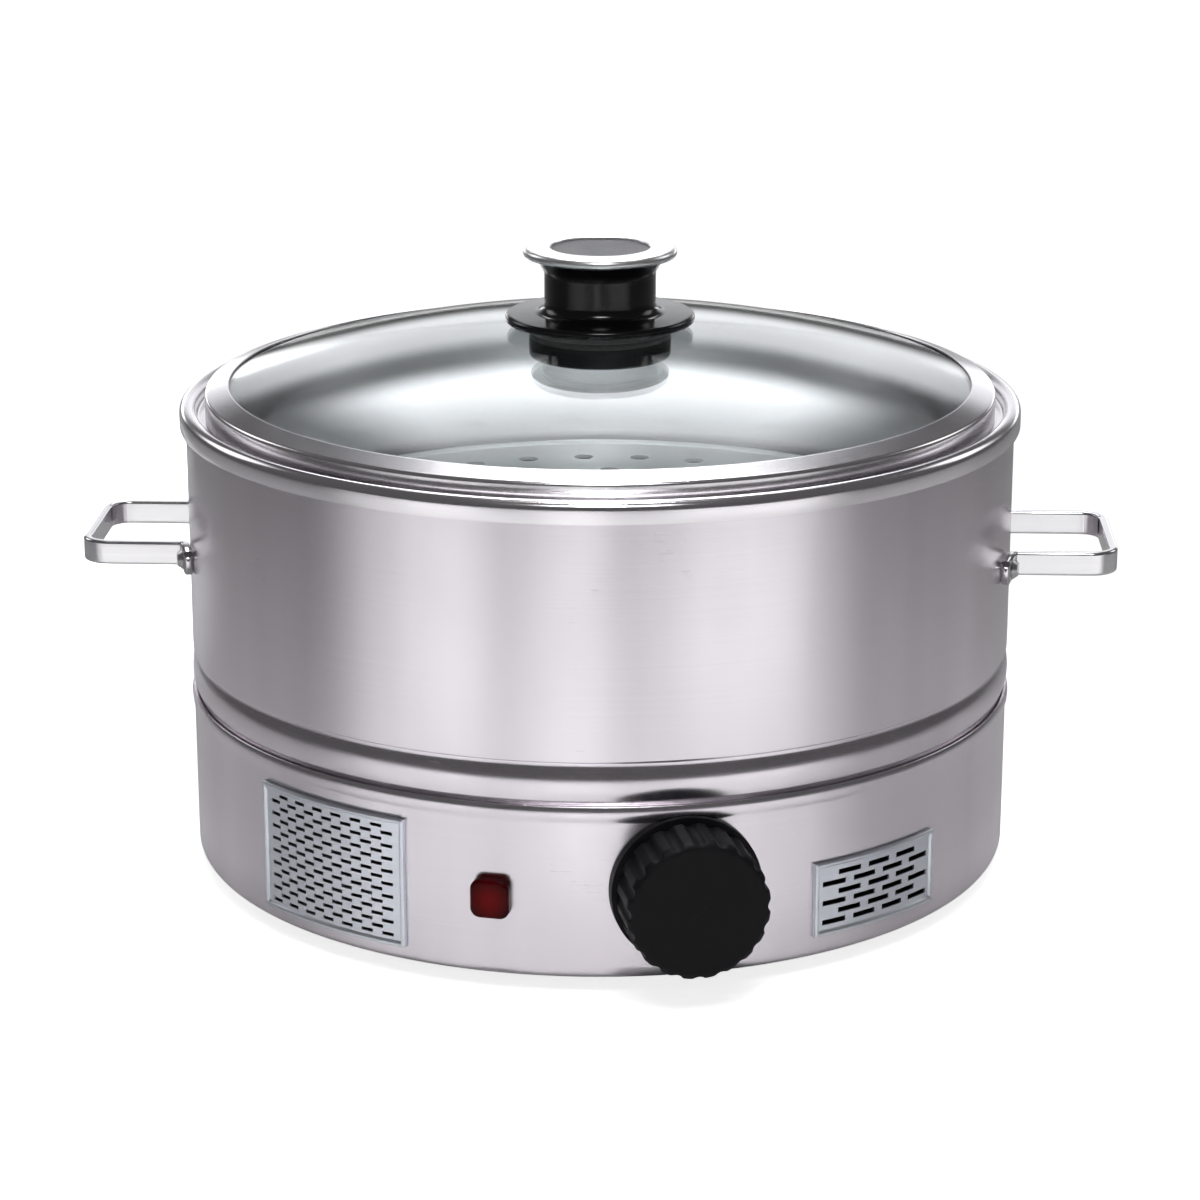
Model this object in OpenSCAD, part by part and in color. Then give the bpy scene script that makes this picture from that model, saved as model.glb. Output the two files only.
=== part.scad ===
// Electric food steamer: a stainless drum on a heated base, with a lift-out tray and a glass lid.
// Millimetres. The origin is on the pot's axis at table level, +Z is up and the controls face -Y.
// Angles round the drum are counted from the front, positive towards +X.

/* [Drum] */
// Outside radius of the drum and skirt
drum_r = 138; // [128:1:150]
// Thickness of the drum and skirt sheet
sheet = 1; // [0.8:0.1:1.3]
// Height of the base skirt, up to its joint with the drum
skirt_h = 57.5; // [55:0.5:66]
// Outside radius of the skirt's lower corner
corner_r = 4; // [2:0.5:5]
// Width of the skirt's turned-in bottom flange, inside the corner
flange_w = 12; // [10:1:20]
// Height of the rolled lip at the skirt's top edge
lip_h = 5.6; // [4:0.2:7]
// How far the lip stands proud
lip_bulge = 0.7; // [0.4:0.1:1.2]
// Height of the swaged band above the joint
band_h = 12; // [9:0.5:18]
// How far the band bulges out of its grooves
band_bulge = 1.4; // [0.8:0.1:2]
// Height of the groove over the band
groove_h = 1.4; // [1:0.1:3]
// Length of the drum's spigot inside the skirt
spigot_h = 4; // [3:0.5:6]
// Height of the rim above the skirt's lower edge
body_h = 154; // [150:1:170]

/* [Pot] */
// Thickness of the pot's sheet
pot_t = 1; // [0.8:0.1:1.3]
// How far the rolled rim stands out from the drum
rim_over = 2; // [1.8:0.1:2.6]
// Width of the rolled rim
rim_w = 5.6; // [5.2:0.1:7]
// Height of the rim's outer leg
rim_leg = 7; // [5:0.5:10]
// Depth of the lid seat below the rim's top
seat_drop = 5; // [4:0.5:8]
// Width of the lid seat
seat_w = 7.4; // [6.5:0.1:10]
// Height of the pot's floor above the skirt's lower edge
floor_up = 64; // [60:1:70]
// Inside radius of the pot's floor corner
pot_corner = 12; // [6:1:16]

/* [Lid] */
// Gap between the lid's band and the pot's rim
lid_gap = 2.9; // [1:0.1:3.4]
// Thickness of the band's sheet
ring_t = 0.8; // [0.6:0.1:1]
// Height of the band, up to the glass's upper edge
ring_h = 7.6; // [7:0.2:10]
// Width of the band's lips over and under the glass
ring_lip = 8; // [5:0.5:10]
// Gap between the lid's plug and the pot's wall
plug_gap = 1; // [0.5:0.1:2]
// Depth of the plug below the lid seat
plug_h = 6; // [3:0.5:9]
// Thickness of the glass
glass_t = 4; // [3:0.5:5]
// Rise of the glass dome above its edge
dome_rise = 21; // [16:1:30]
// Radius of the hole in the glass
glass_hole_r = 4.5; // [3.5:0.1:6]
// Radius of the lid knob's flange
lid_flange_r = 31.5; // [28:0.5:36]
// Thickness of that flange
lid_flange_t = 3; // [2:0.5:4]
// Radius of the lid knob's post
lid_post_r = 18.5; // [16:0.5:20]
// Radius of the post where it meets the cap
lid_neck_r = 21; // [20:0.5:24]
// Height of the lid knob from its foot to its cap
lid_post_h = 22; // [19:0.5:30]
// Radius of the lid knob's cap
cap_r = 25.5; // [24:0.5:30]
// Thickness of the cap
cap_t = 3.2; // [2.8:0.2:4.4]
// Radius of the recess in the cap
cap_recess_r = 16.5; // [12:0.5:20]
// Radius of the boss under the glass
boss_r = 23.5; // [18:0.5:26]
// Height of the boss under the glass
boss_h = 9; // [5:0.5:12]

/* [Tray] */
// Gap between the tray and the pot's wall
tray_gap = 6; // [3:0.5:9]
// Height of the tray's top above the pot's floor
tray_h = 43; // [35:1:48]
// Thickness of the tray and its legs
tray_t = 1.2; // [1:0.1:1.6]
// Radius of the steam holes
steam_hole_r = 3.5; // [2:0.5:4]
// Distance between the rings of steam holes
steam_pitch = 19.5; // [17:0.5:21]
// Width of a tray leg
leg_w = 12; // [8:1:13]
// How far a leg's flanges turn in
leg_flange = 10; // [6:1:14]

/* [Handles] */
// Reach of the handles from the drum's wall
handle_reach = 34.5; // [30:0.5:45]
// Outside width of a handle
handle_w = 54; // [48:1:80]
// Height of the handle strap
strap_h = 8; // [6:0.5:12]
// Thickness of the handle strap
strap_t = 3; // [2:0.5:4]
// Outside radius of the handle's bends
bend_r = 9; // [5:0.5:14]
// Height of the handles' centre above the skirt's lower edge
handle_up = 104; // [90:1:120]
// Length of a handle's feet along the drum
handle_foot = 11; // [10:0.5:16]

/* [Controls] */
// Angle of the control knob
knob_angle = 13.5; // [11:0.5:15]
// Height of the control knob's axis above the skirt's lower edge
knob_up = 30; // [28:0.5:32]
// Radius of the control knob
knob_r = 22.5; // [20:0.5:24]
// Thickness of the control knob
knob_t = 18; // [16:0.5:22]
// Number of flutes round the knob
knob_flutes = 20; // [12:1:28]
// How far the bezel ring stands out round the knob
bezel_over = 1.3; // [0.5:0.1:2.5]
// Thickness of the bezel ring at its thinnest
bezel_t = 2.6; // [2.4:0.1:4]
// Radius of the thermostat's shaft
shaft_r = 3; // [2.5:0.1:3.5]
// Angle of the pilot lamp
lamp_angle = -11.5; // [-14:0.5:-9]
// Height of the pilot lamp above the skirt's lower edge
lamp_up = 26.5; // [22:0.5:34]
// Width of the pilot lamp's lens
lamp_w = 12.4; // [11:0.2:15]
// How far the lens stands proud
lamp_out = 4; // [3:0.2:6]
// Height of the inlet's centre above the skirt's lower edge
inlet_up = 28; // [24:0.5:34]

/* [Vent grilles] */
// Angle of the left grille
left_vent_angle = -35.8; // [-39:0.1:-34]
// Width of the left grille along the skirt
left_vent_w = 59.5; // [40:0.5:62]
// Height of the left grille
left_vent_h = 42.5; // [30:0.5:44]
// Height of the left grille's centre above the skirt's lower edge
left_vent_up = 27; // [26.5:0.1:28]
// Angle of the right grille
right_vent_angle = 41.9; // [40:0.1:60]
// Width of the right grille along the skirt
right_vent_w = 51; // [36:0.5:54]
// Height of the right grille
right_vent_h = 24.5; // [20:0.5:28]
// Height of the right grille's centre above the skirt's lower edge
right_vent_up = 20; // [19:0.5:32]
// Width of a grille's frame
vent_frame = 1.8; // [1.4:0.1:3]

/* [Heater] */
// Radius of the heating plate
heater_r = 70; // [64:1:78]
// Thickness of the heating plate
heater_t = 8; // [6:0.5:9]
// Radius of the heating element's ring
element_r = 54; // [52:0.5:56]
// Radius of the element's tube
element_tube = 3.5; // [3:0.1:4]
// Radius of the circle of studs
stud_circle = 34; // [28:1:36]
// Drop of the heat shield below the heating plate
shield_drop = 14; // [12:0.5:15]

/* [Base] */
// Height of the rubber feet
foot_h = 5; // [4:0.5:10]
// Radius of the rubber feet
foot_r = 10; // [8:0.5:13]
// Radius of the circle of feet
foot_circle = 102; // [85:1:108]
// Thickness of the bottom plate
plate_t = 1; // [0.8:0.1:1.5]

/* [Clearances] */
// Gap between parts that are fastened together
fit_gap = 0.1; // [0.05:0.01:0.15]
// Gap under parts that rest and lift off
rest_gap = 0.2; // [0.1:0.05:0.3]
// Radial gap round a turning shaft
run_gap = 0.05; // [0.02:0.01:0.09]
// Gap between the knob and the bezel behind it
knob_gap = 0.6; // [0.4:0.1:1]

/* [Hidden] */
$fn = 96;
fine = 1440;

// Levels of the drum and pot
skirt_z = foot_h + plate_t;
joint_z = skirt_z + skirt_h;
lip_z = joint_z - lip_h;
band_z = joint_z + band_h;
rim_z = skirt_z + body_h;
seat_z = rim_z - seat_drop;
floor_z = skirt_z + floor_up;
skirt_in_r = drum_r - sheet;
flange_r = drum_r - corner_r - flange_w;
groove_r = skirt_in_r - fit_gap;
rim_r = drum_r + rim_over;
rim_bead = rim_w / 2;
crown_gap = 0.6;
rim_bead_r = rim_r - rim_bead;
crown_z = rim_z - rim_bead;
seat_r = rim_r - rim_w;
pot_r = seat_r - seat_w;
wall_offset = max(abs(drum_r - rim_bead_r), abs(skirt_in_r - rim_bead_r));
drum_top = crown_z + sqrt(pow(rim_bead - pot_t, 2) - pow(wall_offset, 2)) - crown_gap;

// Lid
lid_z = seat_z + rest_gap;
lid_r = seat_r - lid_gap;
plug_r = pot_r - plug_gap;
glass_r = lid_r - ring_t - fit_gap;
dome_r = (glass_r * glass_r + dome_rise * dome_rise) / (2 * dome_rise);
apex_z = lid_z + ring_h + dome_rise;
dome_c = apex_z - dome_r;
lid_screw_r = 2.5;
gasket_t = 0.8;
gasket_r = lid_flange_r - 7.5;
lid_foot_z = apex_z + gasket_t;
cap_z = lid_foot_z + lid_post_h;
cap_spigot_r = 9;
cap_spigot_h = 3;
cap_recess = 1.6;
insert_t = 0.6;
boss_z = apex_z - glass_t - boss_h;
lid_screw_top = lid_foot_z + 12;
neck_h = 5;
post_fillet = 4;

// Tray
tray_r = pot_r - tray_gap;
tray_z = floor_z + tray_h;
tray_bead = 1.8;
tray_edge = 4;
steam_rings = floor((tray_r - tray_edge - 2 * tray_bead - steam_hole_r) / steam_pitch);
leg_inset = 6;
leg_r = pot_r - pot_corner - leg_inset;
leg_count = 3;

// Handles
handle_z = skirt_z + handle_up;
handle_x = drum_r + handle_reach;
strap_in_r = drum_r + fit_gap;
rivet_r = 2;
rivet_y = handle_w / 2 + handle_foot / 2;
rivet_angle = asin(rivet_y / drum_r);
rivet_head_r = 3.4;
rivet_head_h = 1.6;

// Knob, lamp and thermostat
knob_z = skirt_z + knob_up;
bezel_r = knob_r + bezel_over;
bezel_out = drum_r + bezel_t;
knob_back = bezel_out + knob_gap;
knob_wall = 3;
knob_face = 4;
hub_r = shaft_r + 4;
flute_r = 2.2;
flute_depth = 1.2;
knob_edge = 2.5;
shaft_in_knob = knob_t - knob_face - 1;
shaft_flat = 0.6;
bush_r = shaft_r + 2;
bush_out = drum_r + 1.5;
bracket_t = 2;
bracket_w = 42;
bracket_h = 38;
bracket_r = skirt_in_r - fit_gap;
stat_w = 34;
stat_h = 28;
stat_d = 22;
stat_front = sqrt(pow(bracket_r - bracket_t, 2) - pow(stat_w / 2, 2)) - fit_gap;
stat_back = stat_front - stat_d;
stat_screw_r = 1.75;
stat_screw_up = 10.5;
stat_screw_head = 3;
stat_screw_head_h = 1.8;
stat_bore = 15;
tab_w = 6;
tab_t = 0.8;
tab_l = 8;
tab_s = 8;
lamp_z = skirt_z + lamp_up;
lamp_flange = 1.6;
lamp_round = 3;
lamp_stem_r = lamp_w / 2 - 1.4;
lamp_bulb_r = lamp_stem_r - 1;
lamp_stem_in = drum_r - 10;
lamp_end = drum_r - 26;
clip_r = lamp_stem_r + 4;
clip_t = 0.8;

// Inlet at the rear
inlet_z = skirt_z + inlet_up;
inlet_angle = 180;
inlet_flange_w = 50;
inlet_flange_h = 26;
inlet_flange_t = 3;
inlet_w = 28;
inlet_h = 21;
socket_w = 24.4;
socket_h = 16.8;
socket_d = 17;
inlet_face = drum_r + inlet_flange_t;
socket_floor = inlet_face - socket_d;
inlet_wall = 3;
inlet_back = socket_floor - inlet_wall;
pin_s = 7;
pin_w = 2;
pin_h = 4;
pin_l = 13;
pin_tail = 8;
pin_drop = 3;
earth_up = 1;
inlet_screw_s = 20;
inlet_screw_r = 1.7;

// Heater stack, hung from the pot's floor
heater_top = floor_z - pot_t;
heater_z = heater_top - heater_t;
element_gap = 40;
fitting_r = element_tube + 0.7;
fitting_h = 11;
pin_r = 1.6;
pin_drop_l = 10;
bead_r = 4;
bead_h = 6;
stud_r = 2.5;
stud_angles = [30, 150, 270];
clamp_t = 2;
clamp_r = stud_circle + 10;
nut_r = 4.6;
nut_h = 4;
shield_t = 1;
shield_z = heater_z - shield_drop;
controls_room = 38;
shield_r = drum_r - controls_room;
shield_rim = 4;
stud_end = shield_z - shield_t - nut_h - 1;
cutout_r = 8;
cutout_h = 11;
cutout_flange = 9.6;
cutout_s = 5;
cutout_z = heater_z - cutout_h;
bulb_angle = 42;
bulb_circle = heater_r + 18;
bulb_r = 3;
bulb_l = 50;
bulb_z = heater_top - bulb_r - fit_gap;
bulb_clip_w = 10;

// Bottom plate and its screws
plate_r = drum_r - corner_r - 2;
plate_screw_circle = (flange_r + plate_r) / 2;
plate_screw_r = 1.5;
plate_screw_angles = [45, 135, 225, 315];
foot_screw_r = 2;
foot_recess_r = 4.6;
foot_recess = 2.4;
foot_taper = 1.2;
foot_angles = [-45, 45, -135, 135];
slot_count = 16;
earth_angle = 158;
earth_r = flange_r + flange_w / 2;
earth_tag_l = 9;
wire_r = 1.2;
lead_r = 0.9;
wire_gap = 0.5;

// Wires: straight runs off their ends, drops, and the radii of their turns under the heat shield
tab_run = 6;
tail_run = 8;
turn_run = 12;
drop_run = 21;
wire_drop = 6;
wire_side = 3;
inner_turn = 34;
side_turn = 65;
outer_turn = 76;
wire_rise = 16;
low_z = skirt_z + wire_rise;

// A point at an angle from the front, a radius, a sideways offset and a height
function place(a, r, s, z) = [r * sin(a) + s * cos(a), s * sin(a) - r * cos(a), z];

// Height of the dome at a radius, measured on a sphere set in from its outside
function dome_z(r, inset) = dome_c + sqrt(pow(dome_r - inset, 2) - r * r);

// The angle that a length takes up on a radius
function arc_deg(len, r) = len / r * 180 / PI;

// Smooth curve through a list of points
function spline_at(p, i, t) =
  let (a = p[max(i - 1, 0)], b = p[i], c = p[i + 1], d = p[min(i + 2, len(p) - 1)])
  0.5 * (2 * b + (c - a) * t + (2 * a - 5 * b + 4 * c - d) * t * t + (3 * b - a - 3 * c + d) * t * t * t);
function spline(p, steps) = concat(
  [for (i = [0 : len(p) - 2]) for (k = [0 : steps - 1]) spline_at(p, i, k / steps)],
  [p[len(p) - 1]]
);
function unit(v) = v / norm(v);
function tangent(p, i) = unit(p[min(i + 1, len(p) - 1)] - p[max(i - 1, 0)]);
function carried(n, t) = unit(n - (n * t) * t);
function side_of(t) = unit(cross(t, abs(t[2]) > 0.8 ? [1, 0, 0] : [0, 0, 1]));
function normals(p, i = 0, last = undef) =
  i == len(p) ? [] :
  let (t = tangent(p, i), n = i == 0 ? side_of(t) : carried(last, t))
  concat([n], normals(p, i + 1, n));

// Round tube along a smooth route
module tube_along(route, r, sides = 8, steps = 4) {
  p = spline(route, steps);
  n = normals(p);
  rings = len(p);
  points = [
    for (i = [0 : rings - 1])
      let (b = cross(tangent(p, i), n[i]))
      for (k = [0 : sides - 1]) p[i] + r * (cos(360 * k / sides) * n[i] + sin(360 * k / sides) * b)
  ];
  walls = [
    for (i = [0 : rings - 2])
      for (k = [0 : sides - 1])
        let (a = i * sides + k, b = i * sides + (k + 1) % sides)
        each [[a, a + sides, b], [b, a + sides, b + sides]]
  ];
  start = [for (k = [1 : sides - 2]) [0, k, k + 1]];
  top = (rings - 1) * sides;
  end = [for (k = [1 : sides - 2]) [top, top + k + 1, top + k]];
  polyhedron(points, concat(walls, start, end));
}

// Rectangle in the profile plane of a revolved part
module bar(r0, z0, r1, z1) {
  translate([r0, z0]) square([r1 - r0, z1 - z0]);
}

// Quarter of a bend in the profile plane, turned from the upper right
module bend(r, z, r_in, t, turn) {
  translate([r, z]) rotate(turn) intersection() {
    difference() {
      circle(r_in + t);
      circle(r_in);
    }
    square(r_in + t);
  }
}

// Sheet that bulges out between two heights, in the profile plane
module bulged_sheet(r, z0, z1, bulge, t) {
  chord = z1 - z0;
  arc_r = chord * chord / (8 * bulge) + bulge / 2;
  mid = [r + bulge - arc_r, (z0 + z1) / 2];
  intersection() {
    bar(r - 2 * t, z0, r + 2 * bulge, z1);
    difference() {
      translate(mid) circle(arc_r);
      translate(mid - [t, 0]) circle(arc_r);
    }
  }
}

// Disc or ring profile with a half-round outer edge
module round_edged(r0, z0, r1, t) {
  bar(r0, z0, r1 - t / 2, z0 + t);
  translate([r1 - t / 2, z0 + t / 2]) circle(t / 2);
}

// Rectangle with rounded corners
module round_rect(w, h, r) {
  square([w - 2 * r, h], center = true);
  square([w, h - 2 * r], center = true);
  for (x = [-1, 1], y = [-1, 1]) translate([x * (w / 2 - r), y * (h / 2 - r)]) circle(r);
}

// Block that follows the drum between two angles
module arc_block(a0, a1, r0, r1, z0, z1) {
  rotate([0, 0, a0 - 90]) rotate_extrude(angle = a1 - a0) bar(r0, z0, r1, z1);
}

// Turns children to face outwards from the drum: their Z points out and their Y up
module facing(a, r, z) {
  rotate([0, 0, a]) translate([0, -r, z]) rotate([90, 0, 0]) children();
}

// Upright cylinder at a point
module peg(at, r, h) {
  translate(at) cylinder(r = r, h = h);
}

// Upright ring at a point
module sleeve(at, r_in, r_out, h) {
  translate(at) difference() {
    cylinder(r = r_out, h = h);
    translate([0, 0, -1]) cylinder(r = r_in, h = h + 2);
  }
}

// Everything outside the drum's surface, for pieces that saddle on it
module drum_core(r) {
  cylinder(r = r, h = rim_z, $fn = fine);
}

// Casing
module vent_window(a, w, h, z) {
  half = arc_deg(w / 2 - vent_frame, drum_r);
  half_h = h / 2 - vent_frame;
  arc_block(a - half, a + half, drum_r - 8, drum_r + 8, z - half_h, z + half_h);
}

module base_shell() {
  color("gainsboro") difference() {
    rotate_extrude() {
      bar(flange_r, skirt_z, drum_r - corner_r, skirt_z + sheet);
      bend(drum_r - corner_r, skirt_z + corner_r, corner_r - sheet, sheet, -90);
      bar(skirt_in_r, skirt_z + corner_r, drum_r, lip_z);
      bulged_sheet(drum_r, lip_z, joint_z, lip_bulge, sheet);
    }
    vent_window(left_vent_angle, left_vent_w, left_vent_h, skirt_z + left_vent_up);
    vent_window(right_vent_angle, right_vent_w, right_vent_h, skirt_z + right_vent_up);
    facing(knob_angle, drum_r - 8, knob_z) cylinder(r = bush_r + fit_gap, h = 16);
    for (y = [-1, 1])
      facing(knob_angle, drum_r - 8, knob_z + y * stat_screw_up) cylinder(r = stat_screw_r + fit_gap, h = 16);
    facing(lamp_angle, drum_r - 8, lamp_z) cylinder(r = lamp_stem_r + fit_gap, h = 16);
    facing(inlet_angle, drum_r - 12, inlet_z) linear_extrude(24)
      square([inlet_w + 2 * fit_gap, inlet_h + 2 * fit_gap], center = true);
    for (x = [-1, 1])
      facing(inlet_angle, drum_r - 12, inlet_z) translate([x * inlet_screw_s, 0, 0])
        cylinder(r = inlet_screw_r + fit_gap, h = 24);
    for (a = plate_screw_angles)
      peg(place(a, plate_screw_circle, 0, skirt_z - 1), plate_screw_r + fit_gap, sheet + 2);
    peg(place(earth_angle, earth_r, 0, skirt_z - 1), plate_screw_r + fit_gap, sheet + 2);
  }
}

module drum_shell() {
  color("silver") difference() {
    rotate_extrude() {
      bar(groove_r - sheet, joint_z - spigot_h, groove_r, joint_z);
      bulged_sheet(groove_r, joint_z, band_z, band_bulge, sheet);
      bar(groove_r - sheet, band_z, groove_r, band_z + groove_h + sheet);
      bar(groove_r - sheet, band_z + groove_h, drum_r, band_z + groove_h + sheet);
      bar(skirt_in_r, band_z + groove_h, drum_r, drum_top);
    }
    for (side = [0, 180], a = [-1, 1])
      facing(90 + side + a * rivet_angle, drum_r - 8, handle_z) cylinder(r = rivet_r + fit_gap, h = 16);
  }
}

module inner_pot() {
  color("whitesmoke") rotate_extrude() {
    bar(0, floor_z - pot_t, pot_r - pot_corner, floor_z);
    bend(pot_r - pot_corner, floor_z + pot_corner, pot_corner, pot_t, -90);
    bar(pot_r, floor_z + pot_corner, pot_r + pot_t, seat_z);
    bar(pot_r, seat_z - pot_t, seat_r + pot_t, seat_z);
    bar(seat_r, seat_z - pot_t, seat_r + pot_t, crown_z);
    bend(rim_bead_r, crown_z, rim_bead - pot_t, pot_t, 0);
    bend(rim_bead_r, crown_z, rim_bead - pot_t, pot_t, 90);
    bar(rim_r - pot_t, rim_z - rim_leg, rim_r, crown_z);
  }
}

module bottom_plate() {
  color("darkgray") difference() {
    translate([0, 0, foot_h]) cylinder(r = plate_r, h = plate_t);
    for (a = plate_screw_angles)
      peg(place(a, plate_screw_circle, 0, foot_h - 1), plate_screw_r + fit_gap, plate_t + 2);
    peg(place(earth_angle, earth_r, 0, foot_h - 1), plate_screw_r + fit_gap, plate_t + 2);
    for (a = foot_angles)
      peg(place(a, foot_circle, 0, foot_h - 1), foot_screw_r + fit_gap, plate_t + 2);
    for (i = [0 : slot_count - 1])
      rotate([0, 0, i * 360 / slot_count]) translate([foot_circle / 2, 0, foot_h + plate_t / 2])
        cube([foot_circle / 3, 4, plate_t + 2], center = true);
  }
}

module bottom_screws() {
  end_l = 3;
  head_h = 1.8;
  head_r = plate_screw_r + 1.4;
  color("gray") for (a = plate_screw_angles) {
    peg(place(a, plate_screw_circle, 0, foot_h), plate_screw_r, plate_t + sheet + end_l);
    peg(place(a, plate_screw_circle, 0, foot_h - head_h), head_r, head_h);
  }
}

module foot(a) {
  color("dimgray") difference() {
    translate(place(a, foot_circle, 0, 0)) cylinder(r1 = foot_r - foot_taper, r2 = foot_r, h = foot_h);
    peg(place(a, foot_circle, 0, -1), foot_screw_r + fit_gap, foot_h + 2);
    peg(place(a, foot_circle, 0, -1), foot_recess_r, foot_recess + 1);
  }
}

module foot_screws() {
  color("gray") for (a = foot_angles) {
    peg(place(a, foot_circle, 0, foot_recess), foot_screw_r, foot_h - foot_recess + plate_t + 5);
    peg(place(a, foot_circle, 0, foot_recess - 1.6), foot_recess_r - 0.8, 1.6);
  }
}

// Handles
module handle() {
  inner_r = bend_r - strap_t;
  inner_w = handle_w - 2 * strap_t;
  difference() {
    translate([0, 0, handle_z - strap_h / 2]) linear_extrude(strap_h) {
      difference() {
        translate([handle_x / 2, 0]) round_rect(handle_x, handle_w, bend_r);
        translate([(handle_x - strap_t) / 2, 0]) round_rect(handle_x - strap_t, inner_w, inner_r);
        circle(strap_in_r);
      }
      for (y = [-1, 1]) intersection() {
        difference() {
          circle(strap_in_r + strap_t);
          circle(strap_in_r);
        }
        translate([drum_r / 2, y * (handle_w / 2 + (handle_foot - strap_t) / 2) - (handle_foot + strap_t) / 2])
          square([drum_r, handle_foot + strap_t]);
      }
    }
    for (a = [-1, 1])
      facing(90 + a * rivet_angle, drum_r - 8, handle_z) cylinder(r = rivet_r + fit_gap, h = 20);
  }
}

module right_handle() {
  color("lightsteelblue") handle();
}

module left_handle() {
  color("lightsteelblue") rotate([0, 0, 180]) handle();
}

module handle_rivets() {
  outer = strap_in_r + strap_t;
  color("silver") for (side = [90, 270], a = [-1, 1])
    facing(side + a * rivet_angle, 0, handle_z) {
      translate([0, 0, skirt_in_r - 1.6]) cylinder(r = rivet_r, h = outer - skirt_in_r + 1.8);
      translate([0, 0, outer]) cylinder(r1 = rivet_head_r, r2 = rivet_head_r - 1.2, h = rivet_head_h);
      translate([0, 0, skirt_in_r - 1.6]) cylinder(r = rivet_head_r - 0.6, h = 1.4);
    }
}

// Vent grilles: a framed plate with staggered slots and a collar in the skirt's window
module slot_field(a, w, h, z, slot_w, slot_h, pitch_w, pitch_h) {
  rows = floor((h - slot_h) / pitch_h);
  cols = floor((w - slot_w) / pitch_w);
  for (row = [0 : rows]) {
    shift = row % 2;
    for (col = [0 : cols - shift])
      rotate([0, 0, a + arc_deg((col + shift / 2 - cols / 2) * pitch_w, drum_r)])
        translate([0, -drum_r, z + (row - rows / 2) * pitch_h]) cube([slot_w, 16, slot_h], center = true);
  }
}

module vent_grille(a, w, h, z, slot_w, slot_h, pitch_w, pitch_h) {
  field = 0.8;
  proud = 1.6;
  collar = 0.8;
  margin = vent_frame + 2 * fit_gap + collar;
  half = arc_deg(w / 2, drum_r);
  frame = arc_deg(vent_frame, drum_r);
  neck = arc_deg(w / 2 - vent_frame - fit_gap, drum_r);
  neck_h = h / 2 - vent_frame - fit_gap;
  base = drum_r + fit_gap;
  difference() {
    union() {
      arc_block(a - half, a + half, base, base + field, z - h / 2, z + h / 2);
      difference() {
        arc_block(a - half, a + half, base, base + proud, z - h / 2, z + h / 2);
        arc_block(a - half + frame, a + half - frame, base - 1, base + proud + 1,
          z - h / 2 + vent_frame, z + h / 2 - vent_frame);
      }
      difference() {
        arc_block(a - neck, a + neck, skirt_in_r - 1, base, z - neck_h, z + neck_h);
        arc_block(a - neck + arc_deg(collar, drum_r), a + neck - arc_deg(collar, drum_r),
          skirt_in_r - 2, base + 1, z - neck_h + collar, z + neck_h - collar);
      }
    }
    slot_field(a, w - 2 * margin, h - 2 * margin, z, slot_w, slot_h, pitch_w, pitch_h);
  }
}

module left_vent_grille() {
  color("lavender") vent_grille(left_vent_angle, left_vent_w, left_vent_h, skirt_z + left_vent_up,
    slot_w = 4.2, slot_h = 1.1, pitch_w = 7.8, pitch_h = 2.1);
}

module right_vent_grille() {
  color("lavender") vent_grille(right_vent_angle, right_vent_w, right_vent_h, skirt_z + right_vent_up,
    slot_w = 8.8, slot_h = 1.7, pitch_w = 12, pitch_h = 3.2);
}

// Heater stack
module at_studs(z) {
  for (a = stud_angles) rotate([0, 0, a]) translate([stud_circle, 0, z]) children();
}

module at_terminals(z) {
  for (a = [-1, 1]) rotate([0, 0, 90 + a * element_gap / 2]) translate([element_r, 0, z]) children();
}

module heating_plate() {
  color("lightgray") difference() {
    translate([0, 0, heater_z]) cylinder(r = heater_r, h = heater_t);
    translate([0, 0, heater_z]) rotate_extrude() translate([element_r, 0]) circle(element_tube + fit_gap);
    at_terminals(heater_z - 1) cylinder(r = fitting_r + fit_gap, h = element_tube + 1.8);
    at_studs(heater_z - 1) cylinder(r = stud_r + fit_gap, h = heater_t + 2);
  }
}

module heating_element() {
  color("darkslategray") {
    translate([0, 0, heater_z]) rotate([0, 0, 90 + element_gap / 2])
      rotate_extrude(angle = 360 - element_gap) translate([element_r, 0]) circle(element_tube);
    at_terminals(heater_z + element_tube + 0.6 - fitting_h - 4) cylinder(r = fitting_r, h = fitting_h + 4);
    at_terminals(heater_z - fitting_h - pin_drop_l) cylinder(r = pin_r, h = pin_drop_l + 2);
  }
}

module terminal_insulators() {
  top = heater_z + element_tube + 0.6 - fitting_h - 4;
  color("ivory") at_terminals(top - bead_h) sleeve([0, 0, 0], pin_r + fit_gap, bead_r, bead_h);
}

module heater_clamp() {
  color("silver") difference() {
    translate([0, 0, heater_z - clamp_t]) cylinder(r = clamp_r, h = clamp_t);
    translate([0, 0, heater_z - clamp_t - 1]) cylinder(r = cutout_r + fit_gap, h = clamp_t + 2);
    at_studs(heater_z - clamp_t - 1) cylinder(r = stud_r + fit_gap, h = clamp_t + 2);
  }
}

module heater_studs() {
  color("gray") at_studs(stud_end) cylinder(r = stud_r, h = heater_top - stud_end);
}

module nut(h) {
  difference() {
    cylinder(r = nut_r, h = h, $fn = 6);
    translate([0, 0, -1]) cylinder(r = stud_r + fit_gap, h = h + 2);
  }
}

module stud_nuts() {
  color("gray") {
    at_studs(heater_z - clamp_t - nut_h) nut(nut_h);
    at_studs(shield_z - shield_t - nut_h) nut(nut_h);
  }
}

module shield_spacers() {
  color("silver") at_studs(shield_z)
    sleeve([0, 0, 0], stud_r + fit_gap, stud_r + 1.5, shield_drop - clamp_t - nut_h);
}

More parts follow.
